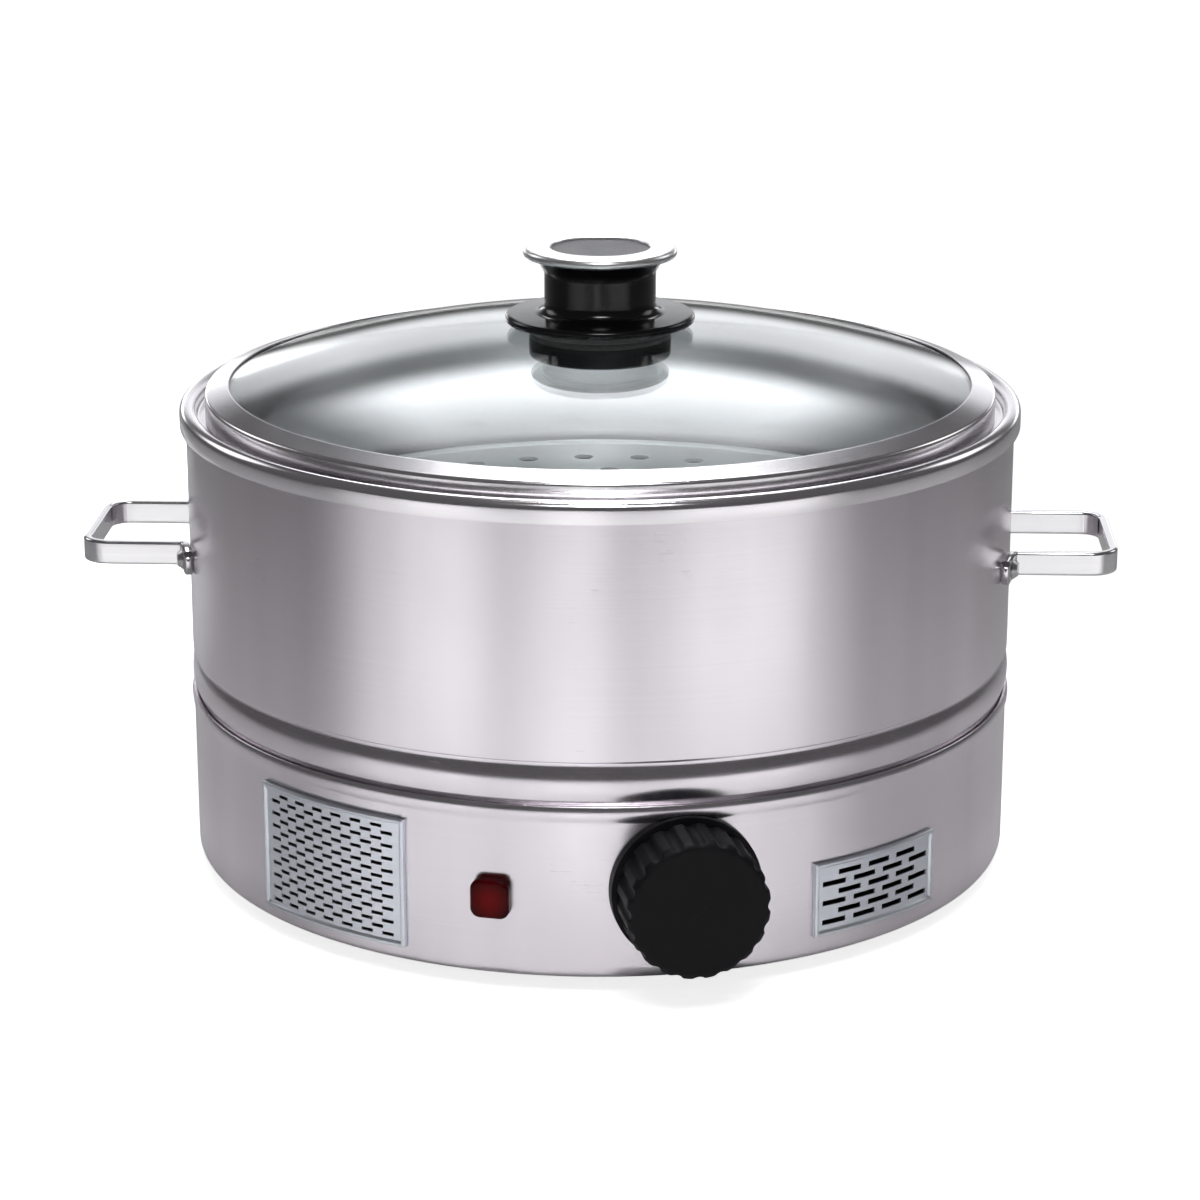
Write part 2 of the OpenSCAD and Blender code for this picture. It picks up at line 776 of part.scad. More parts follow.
module heat_shield() {
  color("lightgray") difference() {
    rotate_extrude() {
      bar(cutout_flange + 2, shield_z - shield_t, shield_r, shield_z);
      bar(shield_r - shield_t, shield_z - shield_rim, shield_r, shield_z);
    }
    at_studs(shield_z - shield_t - 1) cylinder(r = stud_r + fit_gap, h = shield_t + 2);
    at_terminals(shield_z - shield_t - 1) cylinder(r = bead_r + 1.5, h = shield_t + 2);
  }
}

module thermal_cutout() {
  color("black") {
    translate([0, 0, cutout_z]) cylinder(r = cutout_r, h = cutout_h);
    translate([0, 0, heater_z - clamp_t - 2]) cylinder(r = cutout_flange, h = 2);
    for (x = [-1, 1]) translate([x * cutout_s - tab_w / 2, -tab_t / 2, cutout_z - tab_l])
      cube([tab_w, tab_t, tab_l + 1]);
  }
}

module sensor_bulb() {
  color("peru") translate(place(bulb_angle, bulb_circle, 0, bulb_z)) rotate([0, 0, bulb_angle])
    rotate([0, 90, 0]) cylinder(r = bulb_r, h = bulb_l, center = true);
}

module sensor_clip() {
  r_in = bulb_r + fit_gap;
  up = heater_top - bulb_z;
  ear = 7;
  color("silver") translate(place(bulb_angle, bulb_circle, 0, bulb_z)) rotate([90, 0, bulb_angle + 90])
    linear_extrude(bulb_clip_w, center = true) {
      difference() {
        union() {
          circle(r_in + 1);
          bar(-r_in - 1, 0, r_in + 1, up);
        }
        circle(r_in);
        bar(-r_in, 0, r_in, up + 1);
      }
      for (x = [-1, 1]) translate([x * (r_in + 1 + ear / 2), up - 0.5]) square([ear, 1], center = true);
    }
}

module sensor_capillary() {
  stat_top = knob_z + stat_h / 2;
  color("peru") tube_along([
    place(bulb_angle, bulb_circle, -bulb_l / 2 - wire_gap, bulb_z),
    place(bulb_angle, bulb_circle, -bulb_l / 2 - tail_run, bulb_z),
    place(knob_angle, stat_back - tab_run, wire_side, (bulb_z + stat_top) / 2 + wire_side),
    place(knob_angle, stat_back + tail_run, 0, stat_top + tab_run),
    place(knob_angle, stat_back + tail_run, 0, stat_top + wire_gap)
  ], lead_r);
}

// Thermostat and control knob
module thermostat_body() {
  color("tan") difference() {
    union() {
      facing(knob_angle, stat_back, knob_z) translate([0, 0, stat_d / 2])
        cube([stat_w, stat_h, stat_d], center = true);
      facing(knob_angle, stat_front - 1, knob_z) cylinder(r = bush_r, h = bush_out - stat_front + 1);
      for (x = [-1, 1]) facing(knob_angle, stat_back - tab_l, knob_z)
        translate([x * tab_s - tab_w / 2, -tab_t / 2, 0]) cube([tab_w, tab_t, tab_l + 1]);
    }
    facing(knob_angle, stat_front - stat_bore, knob_z) cylinder(r = shaft_r + run_gap, h = stat_bore + 16);
    for (y = [-1, 1]) facing(knob_angle, stat_front - 8, knob_z + y * stat_screw_up)
      cylinder(r = stat_screw_r + fit_gap, h = 16);
  }
}

module thermostat_bracket() {
  half = arc_deg(bracket_w / 2, bracket_r);
  color("silver") difference() {
    arc_block(knob_angle - half, knob_angle + half, bracket_r - bracket_t, bracket_r,
      knob_z - bracket_h / 2, knob_z + bracket_h / 2);
    facing(knob_angle, drum_r - 12, knob_z) cylinder(r = bush_r + fit_gap, h = 24);
    for (y = [-1, 1]) facing(knob_angle, drum_r - 12, knob_z + y * stat_screw_up)
      cylinder(r = stat_screw_r + fit_gap, h = 24);
  }
}

module thermostat_screws() {
  seat = drum_r + fit_gap;
  color("gray") for (y = [-1, 1]) facing(knob_angle, stat_front - 7, knob_z + y * stat_screw_up) {
    cylinder(r = stat_screw_r, h = seat - stat_front + 7.2);
    translate([0, 0, seat - stat_front + 7]) cylinder(r = stat_screw_head, h = stat_screw_head_h);
  }
}

module knob_bezel() {
  color("black") difference() {
    facing(knob_angle, drum_r - 8, knob_z) cylinder(r = bezel_r, h = bezel_out - drum_r + 8);
    drum_core(drum_r + fit_gap);
    translate([0, 0, lip_z - fit_gap])
      cylinder(r = drum_r + lip_bulge + fit_gap, h = lip_h + 2 * fit_gap, $fn = fine);
    facing(knob_angle, drum_r - 9, knob_z) cylinder(r = bush_r + 0.6, h = 24);
    for (y = [-1, 1]) facing(knob_angle, drum_r - 9, knob_z + y * stat_screw_up)
      cylinder(r = stat_screw_head + 0.5, h = 24);
  }
}

module control_knob() {
  color("black") facing(knob_angle, knob_back, knob_z) difference() {
    rotate_extrude() {
      bar(0, 0, knob_r, knob_t - knob_edge);
      bar(0, 0, knob_r - knob_edge, knob_t);
      translate([knob_r - knob_edge, knob_t - knob_edge]) circle(knob_edge);
    }
    translate([0, 0, -1]) difference() {
      cylinder(r = knob_r - knob_wall, h = knob_t - knob_face + 1);
      cylinder(r = hub_r, h = knob_t);
    }
    intersection() {
      translate([0, 0, -1]) cylinder(r = shaft_r + run_gap, h = shaft_in_knob + 2);
      translate([-hub_r, -hub_r, -2]) cube([2 * hub_r, hub_r + shaft_r - shaft_flat + run_gap, knob_t]);
    }
    for (i = [0 : knob_flutes - 1]) rotate([0, 0, (i + 0.5) * 360 / knob_flutes])
      translate([knob_r + flute_r - flute_depth, 0, -1]) cylinder(r = flute_r, h = knob_t + 2);
    translate([-0.7, knob_r - 7.5, knob_t - 0.8]) cube([1.4, 5, 2]);
  }
}

module thermostat_shaft() {
  start = stat_front - stat_bore + 0.5;
  color("lightgray") facing(knob_angle, start, knob_z) difference() {
    cylinder(r = shaft_r, h = knob_back + shaft_in_knob - start);
    translate([-shaft_r - 1, shaft_r - shaft_flat, knob_back - start - 0.5])
      cube([2 * shaft_r + 2, shaft_r, shaft_in_knob + 2]);
  }
}

// Pilot lamp
module lamp_lens() {
  dome = 1.5 * lamp_w;
  color("darkred") difference() {
    union() {
      intersection() {
        facing(lamp_angle, drum_r - 6, lamp_z) linear_extrude(lamp_out + 6) round_rect(lamp_w, lamp_w, lamp_round);
        facing(lamp_angle, drum_r + lamp_out - dome, lamp_z) sphere(r = dome);
      }
      facing(lamp_angle, lamp_stem_in, lamp_z) cylinder(r = lamp_stem_r, h = drum_r - lamp_stem_in);
    }
    difference() {
      drum_core(drum_r + fit_gap);
      facing(lamp_angle, lamp_stem_in - 1, lamp_z) cylinder(r = lamp_stem_r, h = drum_r - lamp_stem_in + 2);
    }
    facing(lamp_angle, lamp_stem_in - 1, lamp_z) cylinder(r = lamp_bulb_r + fit_gap, h = drum_r - lamp_stem_in);
  }
}

module lamp_body() {
  color("ivory") {
    facing(lamp_angle, lamp_end, lamp_z) cylinder(r = lamp_bulb_r, h = drum_r - lamp_end - 2);
    facing(lamp_angle, lamp_end, lamp_z) cylinder(r = lamp_stem_r, h = lamp_stem_in - lamp_end - fit_gap);
  }
}

module lamp_clip() {
  seat = sqrt(pow(skirt_in_r, 2) - pow(clip_r, 2)) - fit_gap;
  color("silver") facing(lamp_angle, seat - clip_t, lamp_z)
    sleeve([0, 0, 0], lamp_stem_r + fit_gap, clip_r, clip_t);
}

// Rear inlet
module pin_block(s, y, gap, r0, r1) {
  facing(inlet_angle, r0, inlet_z) translate([s, y, (r1 - r0) / 2])
    cube([pin_w + 2 * gap, pin_h + 2 * gap, r1 - r0], center = true);
}

module inlet_pin_set(gap, r0, r1) {
  for (x = [-1, 1]) pin_block(x * pin_s, -pin_drop, gap, r0, r1);
  pin_block(0, earth_up, gap, r0, r1);
}

module inlet_housing() {
  color("black") difference() {
    union() {
      difference() {
        facing(inlet_angle, drum_r - 8, inlet_z) linear_extrude(inlet_flange_t + 8)
          round_rect(inlet_flange_w, inlet_flange_h, 4);
        drum_core(drum_r + fit_gap);
      }
      facing(inlet_angle, inlet_back, inlet_z) translate([0, 0, (drum_r + 2 - inlet_back) / 2])
        cube([inlet_w, inlet_h, drum_r + 2 - inlet_back], center = true);
    }
    facing(inlet_angle, socket_floor, inlet_z) linear_extrude(socket_d + 2) round_rect(socket_w, socket_h, 3);
    inlet_pin_set(fit_gap, inlet_back - 2, socket_floor + 2);
    for (x = [-1, 1]) facing(inlet_angle, drum_r - 12, inlet_z) translate([x * inlet_screw_s, 0, 0])
      cylinder(r = inlet_screw_r + fit_gap, h = 24);
  }
}

module inlet_pins() {
  color("gold") inlet_pin_set(0, inlet_back - pin_tail, socket_floor + pin_l);
}

module inlet_screws() {
  reach = 8;
  head_h = 1.6;
  head_r = inlet_screw_r + 1.5;
  crown_r = inlet_screw_r + 0.9;
  start = drum_r - reach;
  color("gray") for (x = [-1, 1]) facing(inlet_angle, start, inlet_z) translate([x * inlet_screw_s, 0, 0]) {
    cylinder(r = inlet_screw_r, h = inlet_face - start + head_h / 2);
    translate([0, 0, inlet_face - start]) cylinder(r1 = head_r, r2 = crown_r, h = head_h);
  }
}

module earth_screw() {
  tag_t = 0.8;
  tag_r = 4.2;
  tongue_w = 4;
  head_r = 3;
  head_h = 2;
  color("gray") rotate([0, 0, earth_angle]) translate([0, -earth_r, skirt_z]) {
    cylinder(r = plate_screw_r, h = sheet + tag_t);
    translate([0, 0, sheet]) linear_extrude(tag_t) {
      circle(tag_r);
      translate([-tongue_w / 2, 0]) square([tongue_w, earth_tag_l]);
    }
    translate([0, 0, sheet + tag_t / 2]) cylinder(r = head_r, h = head_h + tag_t / 2);
  }
}

// Wires inside the base, each from tab to tab: the points of a tab lie some way off its end
function stat_tab(side, off) = place(knob_angle, stat_back - tab_l - off, side * tab_s, knob_z);
function element_pin(side, off) = [side * element_r * sin(element_gap / 2),
  element_r * cos(element_gap / 2), heater_z - fitting_h - pin_drop_l - off];
function cutout_tab(side, off) = [side * cutout_s, 0, cutout_z - tab_l - off];
function inlet_tail(s, up, off) = place(inlet_angle, inlet_back - pin_tail - off, s, inlet_z + up);
function lamp_tail(s, off) = place(lamp_angle, lamp_end - off, s, lamp_z);

module live_wire() {
  color("saddlebrown") tube_along([
    inlet_tail(-pin_s, -pin_drop, wire_gap),
    inlet_tail(-pin_s, -pin_drop, tail_run),
    place(inlet_angle, outer_turn, -pin_s - wire_side, low_z + wire_side),
    place(inlet_angle, inner_turn, -pin_s - wire_side, low_z),
    cutout_tab(1, turn_run) + [0, tail_run, 0],
    cutout_tab(1, tab_run),
    cutout_tab(1, wire_gap)
  ], wire_r);
}

module link_wire() {
  color("saddlebrown") tube_along([
    cutout_tab(-1, wire_gap),
    cutout_tab(-1, tab_run),
    place(0, inner_turn, -wire_side, low_z),
    stat_tab(-1, drop_run) - [wire_side, 0, wire_drop],
    stat_tab(-1, tab_run),
    stat_tab(-1, wire_gap)
  ], wire_r);
}

module load_wire() {
  color("firebrick") tube_along([
    stat_tab(1, wire_gap),
    stat_tab(1, tail_run),
    stat_tab(2, drop_run) - [0, 0, wire_drop],
    place(43, outer_turn, 0, low_z),
    place(85, side_turn, 0, low_z - wire_side),
    place(132, side_turn, 0, low_z - wire_side),
    element_pin(1, turn_run) + [tail_run, wire_side, 0],
    element_pin(1, tab_run),
    element_pin(1, wire_gap)
  ], wire_r);
}

module neutral_wire() {
  color("steelblue") tube_along([
    inlet_tail(pin_s, -pin_drop, wire_gap),
    inlet_tail(pin_s, -pin_drop, tail_run),
    place(inlet_angle, outer_turn, pin_s + wire_drop, low_z + wire_side),
    element_pin(-1, turn_run) + [0, wire_drop, 0],
    element_pin(-1, tab_run),
    element_pin(-1, wire_gap)
  ], wire_r);
}

module lamp_leads() {
  lead_side = 2;
  over_tab = tab_t / 2 + lead_r + wire_gap;
  beside_pin = [pin_r + wire_gap, 0, 0];
  color("dimgray") {
    tube_along([
      lamp_tail(lead_side, wire_gap),
      lamp_tail(lead_side, tail_run),
      lamp_tail(turn_run + lead_side, 3 * tab_run) + [0, 0, lead_side],
      stat_tab(-1, tab_run) + [-lead_side, 0, over_tab + lead_r],
      stat_tab(-1, -wire_side) + [0, 0, over_tab]
    ], lead_r);
    tube_along([
      lamp_tail(-lead_side, wire_gap),
      lamp_tail(-lead_side, tail_run),
      lamp_tail(-tab_run, drop_run) - [0, 0, wire_drop],
      place(-47, outer_turn, 0, low_z - wire_side),
      place(-90, side_turn, 0, low_z - wire_drop),
      place(-135, outer_turn - wire_drop, 0, low_z - wire_side),
      element_pin(-1, 0) - beside_pin + [-tab_run, 0, lead_r],
      element_pin(-1, 0) - beside_pin + [0, 0, lead_side]
    ], lead_r);
  }
}

module earth_wire() {
  tag_end = earth_r - earth_tag_l - wire_gap;
  tag_z = skirt_z + sheet + wire_r + wire_gap;
  color("olivedrab") tube_along([
    inlet_tail(0, earth_up, wire_gap),
    inlet_tail(0, earth_up, tab_run),
    inlet_tail(-wire_rise, earth_up, tail_run + wire_side),
    place(earth_angle, tag_end - turn_run, -wire_side, tag_z + turn_run),
    place(earth_angle, tag_end - tab_run, 0, tag_z + wire_r),
    place(earth_angle, tag_end, 0, tag_z)
  ], wire_r);
}

// Lid
module lid_glass() {
  color("lightcyan", 0.4) rotate_extrude() intersection() {
    translate([0, dome_c]) difference() {
      circle(dome_r, $fn = fine);
      circle(dome_r - glass_t, $fn = fine);
    }
    bar(glass_hole_r, lid_z, glass_r, apex_z + 1);
  }
}

module lid_ring() {
  lip_r = lid_r - ring_lip;
  low_r = plug_r - ring_t;
  mid_r = lid_r - ring_t / 2;
  under = glass_t + fit_gap;
  color("gainsboro") rotate_extrude() {
    bar(lid_r - ring_t, lid_z, lid_r, dome_z(lid_r, -fit_gap) + ring_t / 2);
    polygon([
      [lip_r, dome_z(lip_r, -fit_gap)],
      [lid_r, dome_z(lid_r, -fit_gap)],
      [lid_r, dome_z(lid_r, -fit_gap) + ring_t],
      [lip_r, dome_z(lip_r, -fit_gap) + ring_t]
    ]);
    polygon([
      [low_r, dome_z(low_r, under) - ring_t],
      [mid_r, dome_z(mid_r, under) - ring_t],
      [mid_r, dome_z(mid_r, under)],
      [low_r, dome_z(low_r, under)]
    ]);
    bar(low_r, lid_z - plug_h, plug_r, dome_z(plug_r, under) - ring_t / 2);
  }
}

module lid_knob() {
  top = lid_foot_z + lid_flange_t;
  color("black") difference() {
    rotate_extrude() {
      round_edged(0, lid_foot_z, lid_flange_r, lid_flange_t);
      bar(0, lid_foot_z, lid_post_r, cap_z);
      polygon([[0, cap_z - neck_h], [lid_post_r, cap_z - neck_h], [lid_neck_r, cap_z], [0, cap_z]]);
      difference() {
        bar(lid_post_r - 1, top - 1, lid_post_r + post_fillet, top + post_fillet);
        translate([lid_post_r + post_fillet, top + post_fillet]) circle(post_fillet);
      }
    }
    peg([0, 0, lid_foot_z - 1], lid_screw_r + fit_gap, lid_screw_top - lid_foot_z + 1.5);
    peg([0, 0, cap_z - cap_spigot_h - 0.5], cap_spigot_r + fit_gap, cap_spigot_h + 1);
  }
}

module lid_knob_cap() {
  color("silver") difference() {
    union() {
      rotate_extrude() round_edged(0, cap_z, cap_r, cap_t);
      peg([0, 0, cap_z - cap_spigot_h], cap_spigot_r, cap_spigot_h + 1);
    }
    peg([0, 0, cap_z + cap_t - cap_recess], cap_recess_r, cap_recess + 1);
  }
}

module lid_knob_insert() {
  color("gray") peg([0, 0, cap_z + cap_t - cap_recess], cap_recess_r - fit_gap, insert_t);
}

module lid_gasket() {
  hole = lid_screw_r + fit_gap;
  sag = pow(gasket_r - hole, 2) / (8 * dome_r);
  lift = -fit_gap - sag;
  color("white") rotate_extrude() polygon([
    [hole, dome_z(hole, lift)],
    [gasket_r, dome_z(gasket_r, lift)],
    [gasket_r, lid_foot_z],
    [hole, lid_foot_z]
  ]);
}

module lid_boss() {
  edge = 1.5;
  color("black") rotate_extrude() intersection() {
    polygon([
      [lid_screw_r + fit_gap, boss_z],
      [boss_r - edge, boss_z],
      [boss_r, boss_z + edge],
      [boss_r, apex_z],
      [lid_screw_r + fit_gap, apex_z]
    ]);
    translate([0, dome_c]) circle(dome_r - glass_t - fit_gap, $fn = fine);
  }
}

module lid_screw() {
  head_h = 3;
  color("gray") {
    peg([0, 0, boss_z - 1], lid_screw_r, lid_screw_top - boss_z + 1);
    translate([0, 0, boss_z - head_h]) cylinder(r1 = 3.6, r2 = 5, h = head_h);
  }
}

// Tray
module steam_tray() {
  ring_r = tray_r - tray_bead;
  color("aliceblue") difference() {
    rotate_extrude() {
      bar(0, tray_z - tray_t, ring_r, tray_z);
      translate([ring_r, tray_z - tray_t / 2]) circle(tray_bead);
    }
    peg([0, 0, tray_z - 3], steam_hole_r, 6);
    for (ring = [1 : steam_rings], i = [0 : 6 * ring - 1])
      rotate([0, 0, i * 60 / ring]) translate([ring * steam_pitch, 0, tray_z - 3])
        cylinder(r = steam_hole_r, h = 6);
  }
}

module tray_legs() {
  foot_z = floor_z + rest_gap;
  top_z = tray_z - tray_t;
  between = 30 / steam_rings;
  color("aliceblue") for (i = [0 : leg_count - 1]) rotate([0, 0, between + i * 360 / leg_count]) {
    translate([leg_r - tray_t, -leg_w / 2, foot_z]) cube([tray_t, leg_w, top_z - foot_z]);
    translate([leg_r - leg_flange, -leg_w / 2, foot_z]) cube([leg_flange, leg_w, tray_t]);
    translate([leg_r - leg_flange, -leg_w / 2, top_z - tray_t]) cube([leg_flange, leg_w, tray_t]);
  }
}

base_shell();
drum_shell();
inner_pot();
bottom_plate();
bottom_screws();
foot(foot_angles[0]);  // foot_front_left
foot(foot_angles[1]);  // foot_front_right
foot(foot_angles[2]);  // foot_rear_left
foot(foot_angles[3]);  // foot_rear_right
foot_screws();
left_handle();
right_handle();
handle_rivets();
left_vent_grille();
right_vent_grille();
heating_plate();
heating_element();
terminal_insulators();
heater_clamp();
heater_studs();
stud_nuts();
shield_spacers();
heat_shield();
thermal_cutout();
thermostat_body();
thermostat_bracket();
thermostat_screws();
sensor_bulb();
sensor_clip();
sensor_capillary();
knob_bezel();
lamp_lens();
lamp_body();
lamp_clip();
inlet_housing();
inlet_pins();
inlet_screws();
earth_screw();
live_wire();
link_wire();
load_wire();
neutral_wire();
lamp_leads();
earth_wire();
control_knob();
thermostat_shaft();
lid_glass();
lid_ring();
lid_knob();
lid_knob_cap();
lid_knob_insert();
lid_gasket();
lid_boss();
lid_screw();
steam_tray();
tray_legs();
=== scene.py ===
"""Looks of an electric food steamer: smooth shells, finishes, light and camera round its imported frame.

The pieces' sizes are millimetres in the frame's own axes: Z up from the table, the controls towards -Y.
Angles round the drum are degrees from the front, positive towards +X. The studio's sizes are metres.
"""

import logging
import math
from dataclasses import dataclass
from enum import Enum
from typing import Any, Callable, Sequence

import bmesh
import bpy
import numpy as np
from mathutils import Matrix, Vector


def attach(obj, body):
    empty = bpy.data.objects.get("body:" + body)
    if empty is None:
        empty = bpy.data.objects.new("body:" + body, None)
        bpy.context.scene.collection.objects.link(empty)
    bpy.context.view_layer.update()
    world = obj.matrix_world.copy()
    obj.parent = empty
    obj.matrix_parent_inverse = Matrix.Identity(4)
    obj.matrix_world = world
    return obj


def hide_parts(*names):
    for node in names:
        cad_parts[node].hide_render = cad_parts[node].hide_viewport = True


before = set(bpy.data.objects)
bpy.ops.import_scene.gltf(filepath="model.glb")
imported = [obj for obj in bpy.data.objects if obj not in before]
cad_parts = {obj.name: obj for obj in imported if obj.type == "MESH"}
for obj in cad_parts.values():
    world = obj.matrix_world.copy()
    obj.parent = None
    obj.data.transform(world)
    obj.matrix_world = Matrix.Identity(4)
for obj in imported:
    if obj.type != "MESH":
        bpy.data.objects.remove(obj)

Array = np.ndarray
Triple = tuple[float, float, float]
Socket = bpy.types.NodeSocket
MM = 0.001
UP = np.array([0.0, 0.0, 1.0])
SQUARE = ((-1, -1), (1, -1), (1, 1), (-1, 1))
HOLD = 0.4
UV_NAME = "Surface"
log = logging.getLogger("steamer")


# Shapes


@dataclass(frozen=True)
class Surface:
    """Mesh of quads with one UV for each corner of a quad, in millimetres."""

    points: Array
    quads: Array
    uvs: Array

    @staticmethod
    def from_grid(
        points: Array, uv: Array, wrap_rows: bool = False, wrap_cols: bool = False, keep: Array | None = None
    ) -> "Surface":
        """Joins a grid of points into quads.

        Args:
            points: Positions, rows by columns by 3.
            uv: UVs with one more row or column than the points where that way wraps round.
            wrap_rows: Whether the last row meets the first.
            wrap_cols: Whether the last column meets the first.
            keep: Which quads stay, or None for all.

        Returns:
            The surface, whose quads face along column way cross row way.
        """
        rows, cols = points.shape[:2]
        row_steps, col_steps = rows - (not wrap_rows), cols - (not wrap_cols)
        i, j = np.meshgrid(np.arange(row_steps), np.arange(col_steps), indexing="ij")
        i2, j2 = (i + 1) % rows, (j + 1) % cols
        quads = np.stack([i * cols + j, i * cols + j2, i2 * cols + j2, i2 * cols + j], -1)
        corners = np.stack([uv[i, j], uv[i, j + 1], uv[i + 1, j + 1], uv[i + 1, j]], -2)
        chosen = np.ones(i.shape, bool) if keep is None else keep
        return Surface(points.reshape(-1, 3), quads[chosen], corners[chosen])

    def moved(self, change: Callable[[Array], Array]) -> "Surface":
        """The same surface with its points passed through a function."""
        return Surface(change(self.points), self.quads, self.uvs)


def rounded(corners: Sequence[Sequence[float]], closed: bool = True, steps: int = 7) -> Array:
    """Outline with its corners rounded.

    At a corner the arc's centre lies on the bisector, radius / sin(half angle) away, and the arc touches
    both sides radius / tan(half angle) from the corner. A point at most HOLD beyond each end of the arc
    holds the shading.

    Args:
        corners: Both coordinates and the radius of each corner; radius 0 leaves it sharp.
        closed: Whether the last corner meets the first; if not, both ends stay sharp.
        steps: Points on each arc.

    Returns:
        The points of the rounded outline.
    """
    p, radii = np.split(np.array(corners, float), [2], axis=1)
    radii = radii[:, 0] if closed else np.concatenate([[0], radii[1:-1, 0], [0]])
    ahead = np.roll(p, -1, 0) - p
    side = np.linalg.norm(ahead, axis=1)
    b = ahead / side[:, None]
    a = -np.roll(b, 1, 0)
    half = np.arccos(np.clip((a * b).sum(1), -1, 1)) / 2
    touch = radii / np.tan(half)
    room = np.clip((side - touch - np.roll(touch, -1)) / 4, 0, HOLD)
    t = np.linspace(0, 1, steps)[:, None]
    runs = []
    for k, radius in enumerate(radii):
        if radius == 0:
            runs.append(p[k : k + 1])
            continue
        centre = p[k] + (a[k] + b[k]) / np.linalg.norm(a[k] + b[k]) * radius / math.sin(half[k])
        first, last = p[k] + a[k] * touch[k] - centre, p[k] + b[k] * touch[k] - centre
        sweep = math.pi - 2 * half[k]
        arc = (np.sin((1 - t) * sweep) * first + np.sin(t * sweep) * last) / math.sin(sweep)
        runs += [p[k] + a[k] * (touch[k] + room[k - 1]), arc + centre, p[k] + b[k] * (touch[k] + room[k])]
    return np.concatenate([np.atleast_2d(r) for r in runs])


def round_box(half_w: float, half_h: float, radius: float, steps: int) -> Array:
    """Rectangle about the origin with rounded corners, anticlockwise."""
    return rounded([(x * half_w, y * half_h, radius) for x, y in SQUARE], steps=steps)


def lengths(path: Array, closed: bool) -> Array:
    """Length along a path at each of its points, and at its first again where it is closed."""
    whole = np.concatenate([path, path[:1]]) if closed else path
    return np.concatenate([[0], np.cumsum(np.linalg.norm(np.diff(whole, axis=0), axis=1))])


def uv_grid(u: Array, v: Array) -> Array:
    """UVs of a grid whose columns lie at u and whose rows lie at v."""
    return np.stack(np.meshgrid(u, v), -1)


def carried_round(r: Array, z: Array, t: Array) -> Array:
    """Grid of points round the Z axis: x = r cos t and y = r sin t, with a row for each height z."""
    x, y = r * np.cos(t), r * np.sin(t)
    return np.stack([x, y, np.broadcast_to(z[:, None], x.shape)], -1)


def revolve(profile: Array, segments: int, closed: bool = True) -> Surface:
    """Carries a profile of points (r, z) round the Z axis.

    Args:
        profile: Radius and height of its points, anticlockwise with the radius to the right.
        segments: Steps round the axis.
        closed: Whether the profile is a loop.

    Returns:
        The surface, with U the length round at the widest radius and V the length along the profile.
    """
    t = np.linspace(0, 2 * np.pi, segments, endpoint=False)
    r, z = profile.T
    uv = uv_grid(np.linspace(0, 2 * np.pi * r.max(), segments + 1), lengths(profile, closed))
    return Surface.from_grid(carried_round(r[:, None], z, t), uv, wrap_rows=closed, wrap_cols=True)


def sweep_strip(section: Array, path: Array) -> Surface:
    """Carries a closed section along a level path: point + across * s + up * h for each (s, h) of it.

    Args:
        section: Offsets across the path and upwards, anticlockwise.
        path: Points of the path.

    Returns:
        The surface with capped ends.
    """
    along = np.gradient(path, axis=0)
    along /= np.linalg.norm(along, axis=1, keepdims=True)
    across = np.cross(along, UP)
    body = path[:, None] + section[None, :, :1] * across[:, None] + section[None, :, 1:] * UP
    middle = section.mean(0)
    tip = np.repeat(path[:, None] + middle[0] * across[:, None] + middle[1] * UP, len(section), 1)
    v = lengths(path, False)
    uv = uv_grid(lengths(section, True), np.concatenate([[0], v, v[-1:]]))[..., ::-1]
    return Surface.from_grid(np.concatenate([tip[:1], body, tip[-1:]]), uv, wrap_cols=True)


def on_drum(angle: float, radius: float, height: float) -> Callable[[Array], Array]:
    """Places points (side, up, out) at a flat stand on the drum.

    Args:
        angle: Angle of the stand.
        radius: Its distance from the axis.
        height: Its height.

    Returns:
        The function that moves the points.
    """
    a = math.radians(angle)
    side = np.array([math.cos(a), math.sin(a), 0])
    out = np.array([math.sin(a), -math.cos(a), 0])
    return lambda p: p @ np.stack([side, UP, out]) + out * radius + UP * height


def soft_min(a: Array, b: Array, blend: float) -> Array:
    """Lesser of two arrays with a rounded change-over: (a + b - sqrt((a - b)^2 + blend^2)) / 2."""
    return (a + b - np.sqrt((a - b) ** 2 + blend * blend)) / 2


# Finishes


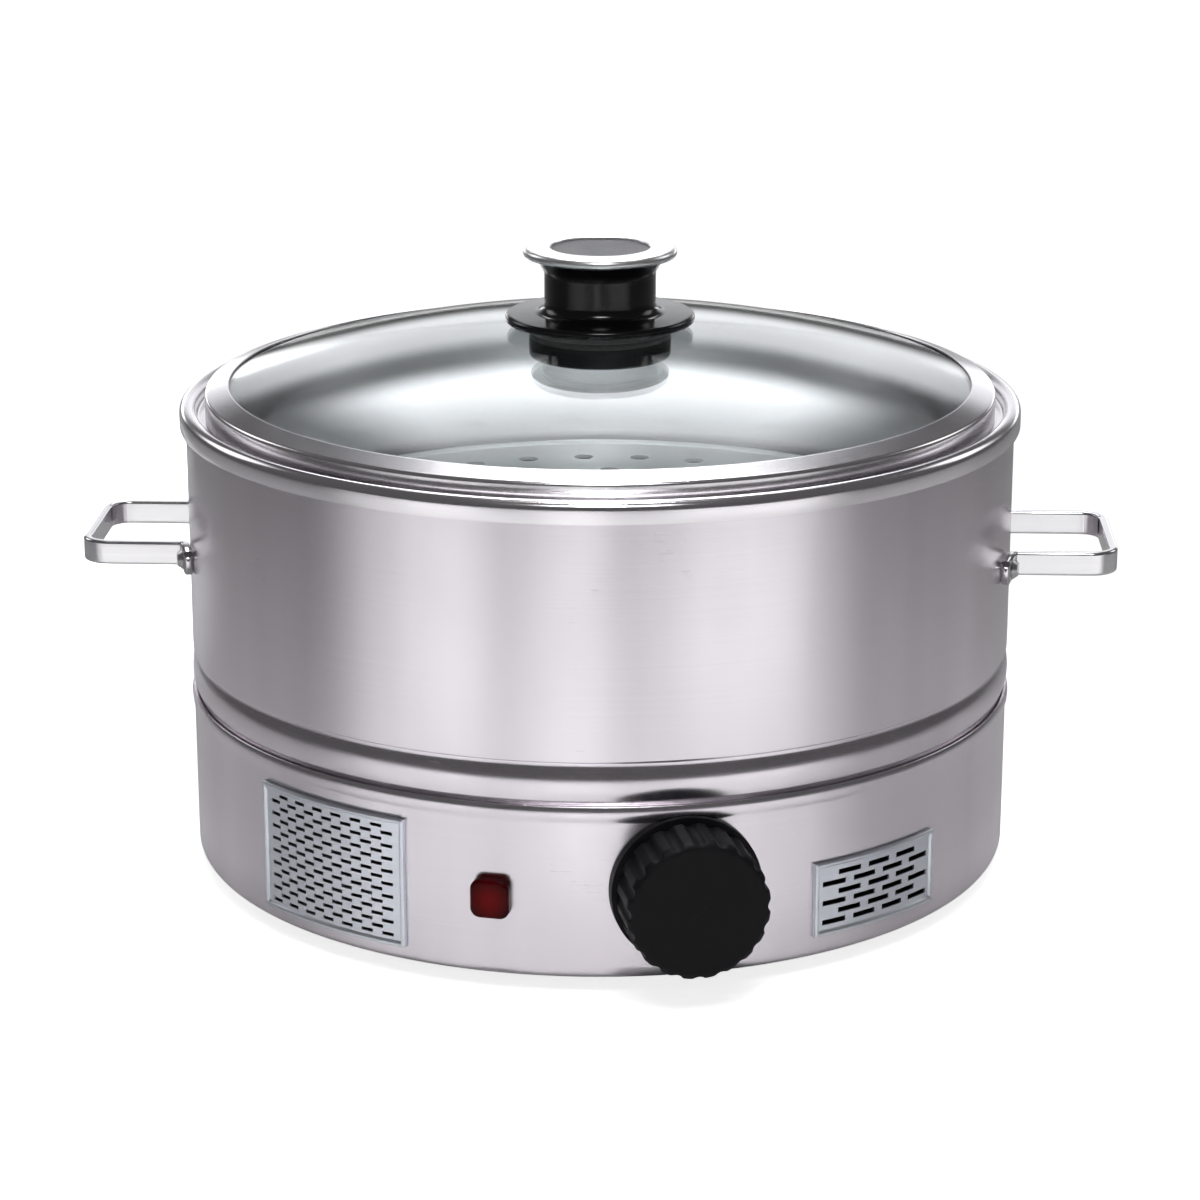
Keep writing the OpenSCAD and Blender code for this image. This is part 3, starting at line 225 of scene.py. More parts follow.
class Graph:
    """Short way to add and wire the nodes of a node tree."""

    def __init__(self, tree: bpy.types.NodeTree) -> None:
        """Keeps the tree."""
        self.tree = tree

    def add(self, kind: str, inputs: dict[Any, Any] | None = None, **settings: Any) -> bpy.types.Node:
        """Adds a node.

        Args:
            kind: Blender's name of the node type.
            inputs: Value or feeding socket of each input, by name or number.
            settings: Attributes of the node.

        Returns:
            The node.
        """
        node = self.tree.nodes.new(kind)
        for key, value in settings.items():
            setattr(node, key, value)
        for key, value in (inputs or {}).items():
            self.feed(node.inputs[key], value)
        return node

    def feed(self, socket: Socket, value: Any) -> None:
        """Links a socket to another, or sets its value.

        Args:
            socket: The input.
            value: What feeds it.
        """
        if isinstance(value, Socket):
            self.tree.links.new(value, socket)
        else:
            socket.default_value = value

    def place(self) -> Socket:
        """Object coordinates, in metres."""
        return self.add("ShaderNodeTexCoord").outputs["Object"]

    def uv_map(self) -> Socket:
        """The piece's own UV map in metres, whose X runs along the brushing."""
        return self.add("ShaderNodeUVMap", uv_map=UV_NAME).outputs["UV"]

    def maths(self, operation: str, *values: Any) -> Socket:
        """Result of a Math node."""
        return self.add("ShaderNodeMath", dict(enumerate(values)), operation=operation).outputs[0]

    def remap(
        self, value: Any, low: float, high: float, to_low: float = 0.0, to_high: float = 1.0, **settings: Any
    ) -> Socket:
        """Value moved from one range to another and kept inside it."""
        ends = {"Value": value, "From Min": low, "From Max": high, "To Min": to_low, "To Max": to_high}
        return self.add("ShaderNodeMapRange", ends, **settings).outputs["Result"]

    def blend(self, mask: Any, a: Triple, b: Triple) -> Socket:
        """Colour a where the mask is 0 and colour b where it is 1."""
        inputs = {"Factor": mask, 6: (*a, 1), 7: (*b, 1)}
        return self.add("ShaderNodeMix", inputs, data_type="RGBA").outputs[2]

    def noise(self, vector: Socket, scale: Any, detail: float, **more: float) -> Socket:
        """Value of a noise texture."""
        inputs = {"Vector": vector, "Scale": scale, "Detail": detail}
        return self.add("ShaderNodeTexNoise", inputs | more).outputs[0]

    def bump(self, strength: float, distance: float, height: Socket, **more: Socket) -> Socket:
        """Normal of a bump, whose distance is in metres."""
        inputs = {"Strength": strength, "Distance": distance, "Height": height}
        return self.add("ShaderNodeBump", inputs | more).outputs[0]

    def stretched(self, vector: Socket, along: Any, across: Any) -> Socket:
        """Vector with its X scaled by one value, and its Y and Z by another."""
        scale = self.add("ShaderNodeCombineXYZ", {0: along, 1: across, 2: across}).outputs[0]
        return self.add("ShaderNodeVectorMath", {0: vector, 1: scale}, operation="MULTIPLY").outputs[0]

    def principled(self, values: dict[str, Any]) -> Socket:
        """The main shader with its inputs."""
        return self.add("ShaderNodeBsdfPrincipled", values).outputs[0]


@dataclass(frozen=True)
class Effect:
    """Node group that more than one finish uses.

    Beside Vector it has float inputs with their usual values. Its work takes the group's nodes and inputs,
    and gives a socket for each of its float outputs.
    """

    name: str
    inputs: dict[str, float]
    outputs: Sequence[str]
    work: Callable[[Graph, Any], Sequence[Socket]]

    def place(self, graph: Graph, **inputs: Any) -> Any:
        """Puts the effect into a material with the values or sockets of its inputs, and gives its outputs."""
        tree = bpy.data.node_groups.get(self.name) or self.build()
        return graph.add("ShaderNodeGroup", inputs, node_tree=tree).outputs

    def build(self) -> bpy.types.NodeTree:
        """Makes the group's sockets and the nodes between them.

        Returns:
            The group.
        """
        tree = bpy.data.node_groups.new(self.name, "ShaderNodeTree")
        tree.interface.new_socket("Vector", in_out="INPUT", socket_type="NodeSocketVector")
        for key, value in self.inputs.items():
            socket = tree.interface.new_socket(key, in_out="INPUT", socket_type="NodeSocketFloat")
            socket.default_value = value
        for key in self.outputs:
            tree.interface.new_socket(key, in_out="OUTPUT", socket_type="NodeSocketFloat")
        graph = Graph(tree)
        results = self.work(graph, graph.add("NodeGroupInput").outputs)
        graph.add("NodeGroupOutput", dict(zip(self.outputs, results)))
        return tree


def brushing_lines(graph: Graph, given: Any) -> list[Socket]:
    """Fine lines along X of the vector, and broad faint bands of them."""
    vector = graph.stretched(given["Vector"], given["Along"], given["Across"])
    fine = graph.noise(vector, 1.0, 4.0, Roughness=0.65)
    return [graph.remap(fine, 0.25, 0.75), graph.remap(graph.noise(vector, 0.06, 3.0), 0.3, 0.7)]


def handling_smudges(graph: Graph, given: Any) -> list[Socket]:
    """Soft patches left by hands and wiping, broken up by a finer cloud."""
    wide = graph.noise(given["Vector"], given["Scale"], 5.0, Distortion=0.7)
    finer = graph.noise(given["Vector"], graph.maths("MULTIPLY", given["Scale"], 7.0), 4.0)
    return [graph.maths("MULTIPLY", graph.remap(wide, 0.46, 0.72), finer)]


def moulded_skin(graph: Graph, given: Any) -> list[Socket]:
    """Pebbled skin of a moulding: height of fine cells on a slow unevenness, and the tone of the latter."""
    cells = graph.add("ShaderNodeTexVoronoi", {"Vector": given["Vector"], "Scale": given["Scale"]})
    slow = graph.noise(given["Vector"], graph.maths("MULTIPLY", given["Scale"], 0.06), 4.0)
    return [graph.maths("ADD", cells.outputs["Distance"], slow), graph.remap(slow, 0.3, 0.7)]


def sheet_waves_and_painted_streaks(graph: Graph, given: Any) -> list[Socket]:
    """Slow waves of rolled sheet, square to its brushing, and a tone of reflection streaks painted from them.
    """
    vector = graph.stretched(given["Vector"], given["Count"], 1.2)
    slow = graph.noise(vector, 1.0, 1.0)
    both = graph.maths("MULTIPLY_ADD", graph.noise(vector, 3.7, 2.0), 0.3, slow)
    return [slow, graph.remap(both, 0.45, 0.85)]


def painted_edge_highlight(graph: Graph, given: Any) -> list[Socket]:
    """Mask of outer edges, broken up by noise, for a painted highlight."""
    point = graph.add("ShaderNodeNewGeometry").outputs["Pointiness"]
    rise = graph.maths("MULTIPLY", graph.maths("SUBTRACT", point, given["Start"]), 14.0)
    patches = graph.remap(graph.noise(given["Vector"], given["Scale"], 5.0), 0.35, 0.65, 0.2)
    return [graph.remap(graph.maths("MULTIPLY", rise, patches), 0.0, 1.0)]


BRUSHING = Effect("brushing_lines", {"Along": 8.0, "Across": 2600.0}, ("Lines", "Bands"), brushing_lines)
SMUDGES = Effect("handling_smudges", {"Scale": 22.0}, ("Mask",), handling_smudges)
SKIN = Effect("moulded_skin", {"Scale": 900.0}, ("Height", "Tone"), moulded_skin)
WAVES_AND_PAINTED_STREAKS = Effect("sheet_waves_and_painted_streaks", {"Count": 24.0}, ("Wave", "Tone"), sheet_waves_and_painted_streaks)
PAINTED_EDGE_HIGHLIGHT = Effect("painted_edge_highlight", {"Scale": 160.0, "Start": 0.53}, ("Mask",), painted_edge_highlight)


class Coordinates(Enum):
    """Where a finish takes the coordinates of its pattern from."""

    OBJECT = "Object"
    UV = "UV"


@dataclass(frozen=True)
class Finish:
    """What every finish has: a name, and the slot of the record that it belongs to, if any."""

    name: str
    slot: str = ""

    def material(self) -> bpy.types.Material:
        """The finish's material, made on first use.

        Returns:
            The material.
        """
        found = bpy.data.materials.get(self.name)
        if found:
            return found
        made = bpy.data.materials.new(self.name)
        made.use_nodes = True
        made.node_tree.nodes.clear()
        graph = Graph(made.node_tree)
        graph.add("ShaderNodeOutputMaterial", {"Surface": self.build(graph)})
        return made

    def build(self, graph: Graph) -> Socket:
        """Adds the finish's nodes to the graph and returns the shader."""
        raise NotImplementedError


@dataclass(frozen=True)
class Steel(Finish):
    """Metal sheet with brushing lines, uneven polish and smudges; where streaks are set, painted reflection
    streaks.
    """

    colour: Triple = (0.8, 0.755, 0.8)
    shade: Triple = (0.66, 0.625, 0.665)
    roughness: float = 0.2
    along: float = 8.0
    across: float = 2600.0
    lines: float = 0.08
    smudges: float = 0.08
    bump: float = 0.03
    anisotropy: float = 0.0
    # streaks: bump of the sheet's waves; when set, the colour also gets painted reflection streaks
    streaks: float = 0.0
    source: Coordinates = Coordinates.UV

    def build(self, graph: Graph) -> Socket:
        """Tints, roughness and bump follow the brushing; streaks paint reflections into the tint; smudges
        dull the polish.

        Args:
            graph: The material's nodes.

        Returns:
            The shader.
        """
        vector = graph.uv_map() if self.source is Coordinates.UV else graph.place()
        brushed = BRUSHING.place(graph, Vector=vector, Along=self.along, Across=self.across)
        hands = SMUDGES.place(graph, Vector=graph.place(), Scale=24.0)
        lines = brushed["Lines"]
        under = {}
        if self.streaks:
            # Painted reflection: the streaks' tone lightens and darkens the colour in upright bands; only the
            # wave's bump is relief
            waves = WAVES_AND_PAINTED_STREAKS.place(graph, Vector=vector)
            tone = graph.maths("MULTIPLY_ADD", waves["Tone"], 0.75, graph.maths("MULTIPLY", lines, 0.25))
            under["Normal"] = graph.bump(self.streaks, 0.003, waves["Wave"])
        else:
            tone = graph.maths("MULTIPLY", brushed["Bands"], lines)
        rough = graph.maths("MULTIPLY_ADD", lines, self.lines, self.roughness - self.lines / 2)
        values = {
            "Base Color": graph.blend(tone, self.colour, self.shade),
            "Metallic": 1.0,
            "Roughness": graph.maths("MULTIPLY_ADD", hands["Mask"], self.smudges, rough),
            "Normal": graph.bump(self.bump, 0.0002, lines, **under),
        }
        if self.anisotropy:
            tangent = graph.add("ShaderNodeTangent", direction_type="UV_MAP", uv_map=UV_NAME)
            values |= {"Anisotropic": self.anisotropy, "Tangent": tangent.outputs[0]}
        return graph.principled(values)


@dataclass(frozen=True)
class NodeMetal(Steel):
    """Metal of a CAD node, which has no UV map."""

    source: Coordinates = Coordinates.OBJECT


@dataclass(frozen=True)
class Moulding(Finish):
    """Moulded plastic, rubber or fired clay with a pebbled skin, a painted highlight on its edges and
    handling marks.
    """

    colour: Triple = (0.012, 0.012, 0.013)
    # worn: the paler colour of the painted edge highlight
    worn: Triple = (0.05, 0.05, 0.05)
    roughness: float = 0.3
    uneven: float = 0.04
    gloss_spread: float = 0.12
    bump: float = 0.08
    grain: float = 900.0
    painted_highlight: float = 0.5
    specular: float = 0.5

    def build(self, graph: Graph) -> Socket:
        """Edges are painted paler as a highlight, the skin gives the bump, and smudges vary the gloss.

        Args:
            graph: The material's nodes.

        Returns:
            The shader.
        """
        place = graph.place()
        skin = SKIN.place(graph, Vector=place, Scale=self.grain)
        hands = SMUDGES.place(graph, Vector=place, Scale=40.0)
        # Painted highlight: outer edges are lightened towards the worn colour
        worn = graph.maths("MULTIPLY", PAINTED_EDGE_HIGHLIGHT.place(graph, Vector=place)["Mask"], self.painted_highlight)
        tint = graph.maths("MULTIPLY_ADD", skin["Tone"], 0.12, worn)
        rough = graph.remap(skin["Tone"], 0, 1, self.roughness - self.uneven, self.roughness + self.uneven)
        return graph.principled(
            {
                "Base Color": graph.blend(tint, self.colour, self.worn),
                "Roughness": graph.maths("MULTIPLY_ADD", hands["Mask"], self.gloss_spread, rough),
                "Normal": graph.bump(self.bump, 0.0003, skin["Height"]),
                "Specular IOR Level": self.specular,
            }
        )


@dataclass(frozen=True)
class LidGlass(Finish):
    """Clear tempered glass with faint wiping marks; lamps shine through it."""

    colour: Triple = (0.94, 0.98, 0.97)

    def build(self, graph: Graph) -> Socket:
        """Glass for the eye and the reflections, and a clear pane for shadows.

        Args:
            graph: The material's nodes.

        Returns:
            The shader.
        """
        place = graph.place()
        wiped = SMUDGES.place(graph, Vector=place, Scale=18.0)
        glass = graph.principled(
            {
                "Base Color": (*self.colour, 1),
                "Roughness": graph.remap(wiped["Mask"], 0, 1, 0.004, 0.05),
                "IOR": 1.48,
                "Transmission Weight": 1.0,
                "Normal": graph.bump(0.02, 0.001, graph.noise(place, 14.0, 1.0)),
            }
        )
        clear = graph.add("ShaderNodeBsdfTransparent", {"Color": (*self.colour, 1)}).outputs[0]
        ray = graph.add("ShaderNodeLightPath").outputs["Is Shadow Ray"]
        return graph.add("ShaderNodeMixShader", {0: ray, 1: glass, 2: clear}).outputs[0]


@dataclass(frozen=True)
class LampLens(Finish):
    """Clear red moulding, lit from behind and brightest in its middle; centre and reach are in metres."""

    colour: Triple = (0.03, 0.0005, 0.001)
    lit_colour: Triple = (0.1, 0.001, 0.002)
    dim: Triple = (0.01, 0.0, 0.0)
    glow: Triple = (1.0, 0.01, 0.01)
    centre: Triple = (0.0, 0.0, 0.0)
    reach: float = 0.007

    def build(self, graph: Graph) -> Socket:
        """The glow fades from the lamp's middle to its edge; fine ribs inside break it up.

        Args:
            graph: The material's nodes.

        Returns:
            The shader.
        """
        place = graph.place()
        apart = graph.add("ShaderNodeVectorMath", {0: place, 1: self.centre}, operation="DISTANCE")
        lit = graph.remap(apart.outputs["Value"], 0.0, self.reach, 1.0, 0.0)
        skin = SKIN.place(graph, Vector=place, Scale=500.0)
        warm = graph.maths("MULTIPLY", lit, graph.remap(skin["Tone"], 0, 1, 0.7))
        return graph.principled(
            {
                "Base Color": graph.blend(warm, self.colour, self.lit_colour),
                "Roughness": graph.remap(skin["Tone"], 0, 1, 0.08, 0.16),
                "Emission Color": graph.blend(warm, self.dim, self.glow),
                "Emission Strength": 0.06,
                "Normal": graph.bump(0.03, 0.0002, skin["Height"]),
                "Specular IOR Level": 0.08,
            }
        )


@dataclass(frozen=True)
class Paper(Finish):
    """Plain pale paper with a faint unevenness, a little brighter to the eye than in the reflections."""

    lift: float = 0.8

    def build(self, graph: Graph) -> Socket:
        """Paper, and a glow for camera rays alone.

        Args:
            graph: The material's nodes.

        Returns:
            The shader.
        """
        colour = graph.blend(graph.noise(graph.place(), 3.0, 3.0), (0.86, 0.86, 0.87), (0.88, 0.88, 0.88))
        seen = graph.add("ShaderNodeLightPath").outputs["Is Camera Ray"]
        lift = graph.add("ShaderNodeEmission", {"Strength": graph.maths("MULTIPLY", seen, self.lift)})
        paper = graph.principled({"Base Color": colour, "Roughness": 0.7})
        return graph.add("ShaderNodeAddShader", {0: paper, 1: lift.outputs[0]}).outputs[0]


class Finishes:
    """Every finish: name, slot, two colours, roughness, and a metal's scales along and across its lines."""

    # The skirt and the drum get painted reflection streaks in their colour
    skirt = Steel("skirt_sheet", "skirt_steel", roughness=0.22, anisotropy=0.5, streaks=0.2)
    drum = Steel("drum_sheet", "drum_steel", roughness=0.22, anisotropy=0.55, streaks=0.25)
    pot = Steel("spun_pot", "pot_steel", (0.8, 0.775, 0.8), (0.7, 0.68, 0.705), 0.14, anisotropy=0.3)
    handle = Steel("polished_strap", "handle_steel", (0.82, 0.82, 0.82), roughness=0.1, lines=0.04)
    vent = Steel("vent_sheet", "vent_steel", (0.74, 0.77, 0.82), (0.64, 0.67, 0.73), 0.34)
    cap = Steel("cap_disc", "cap_steel", (0.86, 0.86, 0.87), (0.78, 0.78, 0.79), 0.27, lines=0.05)
    ring = Steel("lid_band", "ring_steel", (0.82, 0.8, 0.82), (0.74, 0.72, 0.74), 0.16, lines=0.05)
    tray = NodeMetal("tray_sheet", "tray_steel", (0.88, 0.88, 0.89), (0.8, 0.8, 0.82), 0.5, 30, 900)
    plated = NodeMetal(
        "zinc_plate", "plated_steel", (0.66, 0.66, 0.63), (0.52, 0.53, 0.52), 0.4, 200, 400, smudges=0.2
    )
    fastener = NodeMetal("screw_steel", "fastener_steel", (0.6, 0.6, 0.6), (0.45, 0.45, 0.46), 0.3, 600, 900)
    aluminium = NodeMetal(
        "cast_aluminium", "plate_aluminium", (0.74, 0.74, 0.75), (0.6, 0.6, 0.62), 0.45, 300, 300, bump=0.2
    )
    element = NodeMetal(
        "element_sheath", "element_steel", (0.3, 0.28, 0.27), (0.16, 0.15, 0.16), 0.45, 150, 150
    )
    copper = NodeMetal("drawn_copper", "copper", (0.74, 0.42, 0.27), (0.5, 0.26, 0.16), 0.3, 250, 250)
    brass = NodeMetal("pin_plating", "pin_brass", (0.8, 0.68, 0.42), (0.62, 0.5, 0.28), 0.25, 300, 900)
    insert = Moulding(
        "cap_insert", "cap_steel", (0.062, 0.06, 0.066), (0.09, 0.087, 0.095), 0.6, specular=0.1
    )
    knob = Moulding(
        "knob_moulding", "knob_plastic", (0.003, 0.003, 0.004), (0.012, 0.012, 0.014), 0.5, specular=0.14
    )
    lid_knob = Moulding(
        "lid_knob_moulding", "lid_plastic", (0.003, 0.003, 0.004), (0.014, 0.014, 0.016), 0.14,
        bump=0.03, specular=0.4,
    )
    inlet = Moulding("inlet_moulding", "inlet_plastic", (0.02, 0.02, 0.02), roughness=0.42)
    rubber = Moulding("foot_rubber", "foot_rubber", (0.03, 0.03, 0.03), (0.11, 0.1, 0.1), 0.75, bump=0.2)
    silicone = Moulding("gasket_silicone", "gasket", (0.72, 0.72, 0.7), (0.85, 0.85, 0.83), 0.55)
    ceramic = Moulding("terminal_ceramic", "insulator", (0.8, 0.77, 0.68), (0.9, 0.88, 0.8), 0.5)
    phenolic = Moulding("switch_moulding", "phenolic", (0.05, 0.035, 0.028), (0.14, 0.1, 0.08), 0.45)
    lamp_white = Moulding("lamp_holder", "lamp_white", (0.8, 0.78, 0.72), (0.9, 0.89, 0.85), 0.4)
    brown = Moulding("brown_sleeve", "wire_brown", (0.14, 0.06, 0.03), (0.25, 0.13, 0.08), 0.5)
    red = Moulding("red_sleeve", "wire_red", (0.35, 0.03, 0.025), (0.5, 0.1, 0.08), 0.5)
    blue = Moulding("blue_sleeve", "wire_blue", (0.04, 0.1, 0.35), (0.1, 0.2, 0.5), 0.5)
    grey = Moulding("grey_sleeve", "wire_grey", (0.25, 0.25, 0.25), (0.4, 0.4, 0.4), 0.5)
    green = Moulding("earth_sleeve", "wire_green", (0.1, 0.28, 0.03), (0.5, 0.5, 0.06), 0.5)
    glass = LidGlass("tempered_glass", "lid_glass")


# Pieces


def in_scene(name: str, data: bpy.types.ID) -> bpy.types.Object:
    """Puts a mesh, light or camera into the scene.

    Args:
        name: Name of the object.
        data: What it shows.

    Returns:
        The object.
    """
    made = bpy.data.objects.new(name, data)
    bpy.context.scene.collection.objects.link(made)
    return made


@dataclass
class Piece:
    """One mesh of the scene, the CAD node that it stands for and the body that carries it."""

    name: str
    node: str
    body: str
    finish: Finish
    surface: Surface
    thickness: float = 0.0
    edge: float = 0.0

    def build(self) -> bpy.types.Object:
        """Makes the mesh, merges its seams, gives it its finish and hands it to its body.

        Returns:
            The piece's object.
        """
        mesh = bpy.data.meshes.new(self.name)
        mesh.from_pydata((self.surface.points * MM).tolist(), [], self.surface.quads.tolist())
        layer = mesh.uv_layers.new(name=UV_NAME)
        layer.data.foreach_set("uv", (self.surface.uvs * MM).astype(np.float32).ravel())
        self.close_seams(mesh)
        mesh.polygons.foreach_set("use_smooth", np.ones(len(mesh.polygons), bool))
        mesh.materials.append(self.finish.material())
        made = in_scene(self.name, mesh)
        self.add_modifiers(made)
        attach(made, self.body)
        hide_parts(self.node)
        return made

    @staticmethod
    def close_seams(mesh: bpy.types.Mesh) -> None:
        """Merges points that fall together at poles and seams, and drops faces that vanish there.

        Args:
            mesh: The mesh to close.
        """
        work = bmesh.new()
        work.from_mesh(mesh)
        bmesh.ops.remove_doubles(work, verts=work.verts, dist=1e-7)
        bmesh.ops.dissolve_degenerate(work, edges=work.edges, dist=1e-8)
        work.to_mesh(mesh)
        work.free()
        mesh.update()

    def add_modifiers(self, made: bpy.types.Object) -> None:
        """Gives a sheet its thickness and rounds its edges.

        Args:
            made: The piece's object.
        """
        if self.thickness:
            wall = made.modifiers.new("wall", "SOLIDIFY")
            wall.thickness, wall.offset, wall.use_even_offset = self.thickness * MM, -1, True
        if self.edge:
            bevel = made.modifiers.new("edge", "BEVEL")
            bevel.width, bevel.segments, bevel.limit_method = self.edge * MM, 2, "ANGLE"
            bevel.angle_limit = math.radians(40)
        normals = made.modifiers.new("normals", "WEIGHTED_NORMAL")
        normals.keep_sharp, normals.weight = True, 80


@dataclass(frozen=True)
class Opening:
    """Window in the skirt: angle of its middle, width along the skirt, and heights of its level edges."""

    angle: float
    width: float
    low: float
    high: float

    def angles(self, radius: float) -> tuple[float, float]:
        """Angles of its left and right edge."""
        half = math.degrees(self.width / 2 / radius)
        return self.angle - half, self.angle + half


@dataclass
class Casing:
    """Skirt, drum and pot: the three shells of stainless sheet."""

    drum_r: float = 138.0
    sheet: float = 1.0
    skirt_z: float = 6.0
    corner_r: float = 4.0
    flange_r: float = 122.0
    lip_z: float = 57.9
    lip_hold: float = 0.3
    lip_bulge: float = 0.7
    lip_gap: float = 0.15
    joint_z: float = 63.5
    spigot: float = 3.9
    band_gap: float = 0.2
    band_z: float = 75.5
    band_bulge: float = 1.4
    groove_r: float = 136.9
    groove_h: float = 1.4
    shoulder: float = 0.5
    drum_top: float = 158.2
    rim_r: float = 140.0
    rim_w: float = 5.6
    rim_z: float = 160.0
    rim_leg: float = 7.0
    seat_z: float = 155.0
    pot_r: float = 127.0
    pot_t: float = 1.0
    pot_corner: float = 12.0
    floor_z: float = 70.0
    seam: float = -260.0
    openings: Sequence[Opening] = ()

    def pieces(self) -> list[Piece]:
        """The three shells."""
        return [
            Piece("skirt_shell", "base_shell", "base", Finishes.skirt, self.skirt(), thickness=self.sheet),
            Piece("drum_wall", "drum_shell", "base", Finishes.drum, revolve(self.drum_profile(), 360)),
            Piece("spun_pot", "inner_pot", "base", Finishes.pot, revolve(self.pot_profile(), 360)),
        ]

    @staticmethod
    def bulge(r: float, z0: float, z1: float, height: float, steps: int = 14) -> Array:
        """Outward arc between two heights: part of a circle through both ends that is proud in the middle.

        Args:
            r: Radius of both ends.
            z0: Lower end.
            z1: Upper end.
            height: How proud the middle stands.
            steps: Points on the arc.

        Returns:
            The points of the arc.
        """
        half = (z1 - z0) / 2
        arc_r = half * half / (2 * height) + height / 2
        turn = np.linspace(-1, 1, steps) * math.asin(half / arc_r)
        return np.stack([r + height - arc_r + arc_r * np.cos(turn), (z0 + z1) / 2 + arc_r * np.sin(turn)], -1)

    def skirt(self) -> Surface:
        """Outer skin of the skirt, carried round on a grid whose lines follow the openings' edges.

        Returns:
            The skin without its openings.
        """
        r, z = self.drum_r, self.skirt_z
        corners = [(self.flange_r, z, 0), (r, z, self.corner_r), (r, self.lip_z, 0)]
        low = rounded(corners, closed=False, steps=9)
        levels = np.unique(np.round([e for o in self.openings for e in (o.low, o.high)], 4))
        wall = np.stack([np.full(len(levels), r), levels], -1)
        lip = self.bulge(r, self.lip_z, self.joint_z - self.lip_gap, self.lip_bulge)
        profile = np.concatenate([low[:-1], wall, [[r, self.lip_z - self.lip_hold]], lip[1:]])
        even = np.linspace(0, 360, 360, endpoint=False) + self.seam
        t = np.unique(np.round(np.concatenate([even, [e for o in self.openings for e in o.angles(r)]]), 5))
        whole = np.append(t, t[0] + 360)
        points = carried_round(profile[:, :1], profile[:, 1], np.radians(t - 90))
        uv = uv_grid(np.radians(whole) * r, lengths(profile, False))
        mid_t = (whole[1:] + whole[:-1]) / 2
        mid_z = (profile[1:, 1] + profile[:-1, 1]) / 2
        on_wall = np.minimum(profile[1:, 0], profile[:-1, 0]) > r - 0.01
        keep = np.ones((len(mid_z), len(mid_t)), bool)
        for opening in self.openings:
            left, right = opening.angles(r)
            rows = on_wall & (mid_z > opening.low) & (mid_z < opening.high)
            keep &= ~np.outer(rows, (mid_t > left) & (mid_t < right))
        return Surface.from_grid(points, uv, wrap_cols=True, keep=keep)

    def drum_profile(self) -> Array:
        """Loop of the drum's sheet: the spigot, the bulged band, the groove and the straight wall.

        Returns:
            The points of the loop.
        """
        r, g, t, low = self.drum_r, self.groove_r, self.sheet, self.joint_z - self.spigot
        band = self.bulge(g, self.joint_z + self.band_gap, self.band_z, self.band_bulge)
        step = self.band_z + self.groove_h
        steps = [(*band[-1], 0), (g, step, 0.35), (r, step + self.shoulder, 0.7), (r, self.drum_top, 0)]
        outer = rounded(steps, closed=False, steps=5)
        inner_z = (self.drum_top, step + t + self.shoulder, step + t, self.band_z)
        inner = np.column_stack([(r - t, r - t, g - t, g - t), inner_z])
        return np.concatenate([[[g - t, low], [g, low]], band, outer[1:], inner])

    def pot_profile(self) -> Array:
        """Loop of the pot's sheet from its floor up to the lid seat and over the rolled rim.

        Returns:
            The points of the loop.
        """
        bead, seat_r = self.rim_w / 2, self.rim_r - self.rim_w
        corners = [
            (0, self.floor_z, 0),
            (self.pot_r, self.floor_z, self.pot_corner),
            (self.pot_r, self.seat_z, 1.0),
            (seat_r, self.seat_z, 0.8),
            (seat_r, self.rim_z, bead),
            (self.rim_r, self.rim_z, bead),
            (self.rim_r, self.rim_z - self.rim_leg, 0),
        ]
        # How each corner and its radius change from the skin to its back, for a millimetre of sheet
        behind = [(0, -1, 0), (1, -1, 1), (1, -1, -0.6), (1, -1, -0.4), (1, -1, -1), (-1, -1, -1), (-1, 0, 0)]
        back = np.array(corners) + self.pot_t * np.array(behind)
        skin = rounded(corners, closed=False, steps=12)
        return np.concatenate([skin, rounded(back[::-1], closed=False)])[::-1]


# Holes for the thermostat's shaft, the lamp's stem and the inlet's body
OTHER_OPENINGS = (
    Opening(13.5, 11.0, 30.5, 41.5),
    Opening(-11.5, 9.8, 27.6, 37.4),
    Opening(-180.0, 28.4, 23.3, 44.7),
)


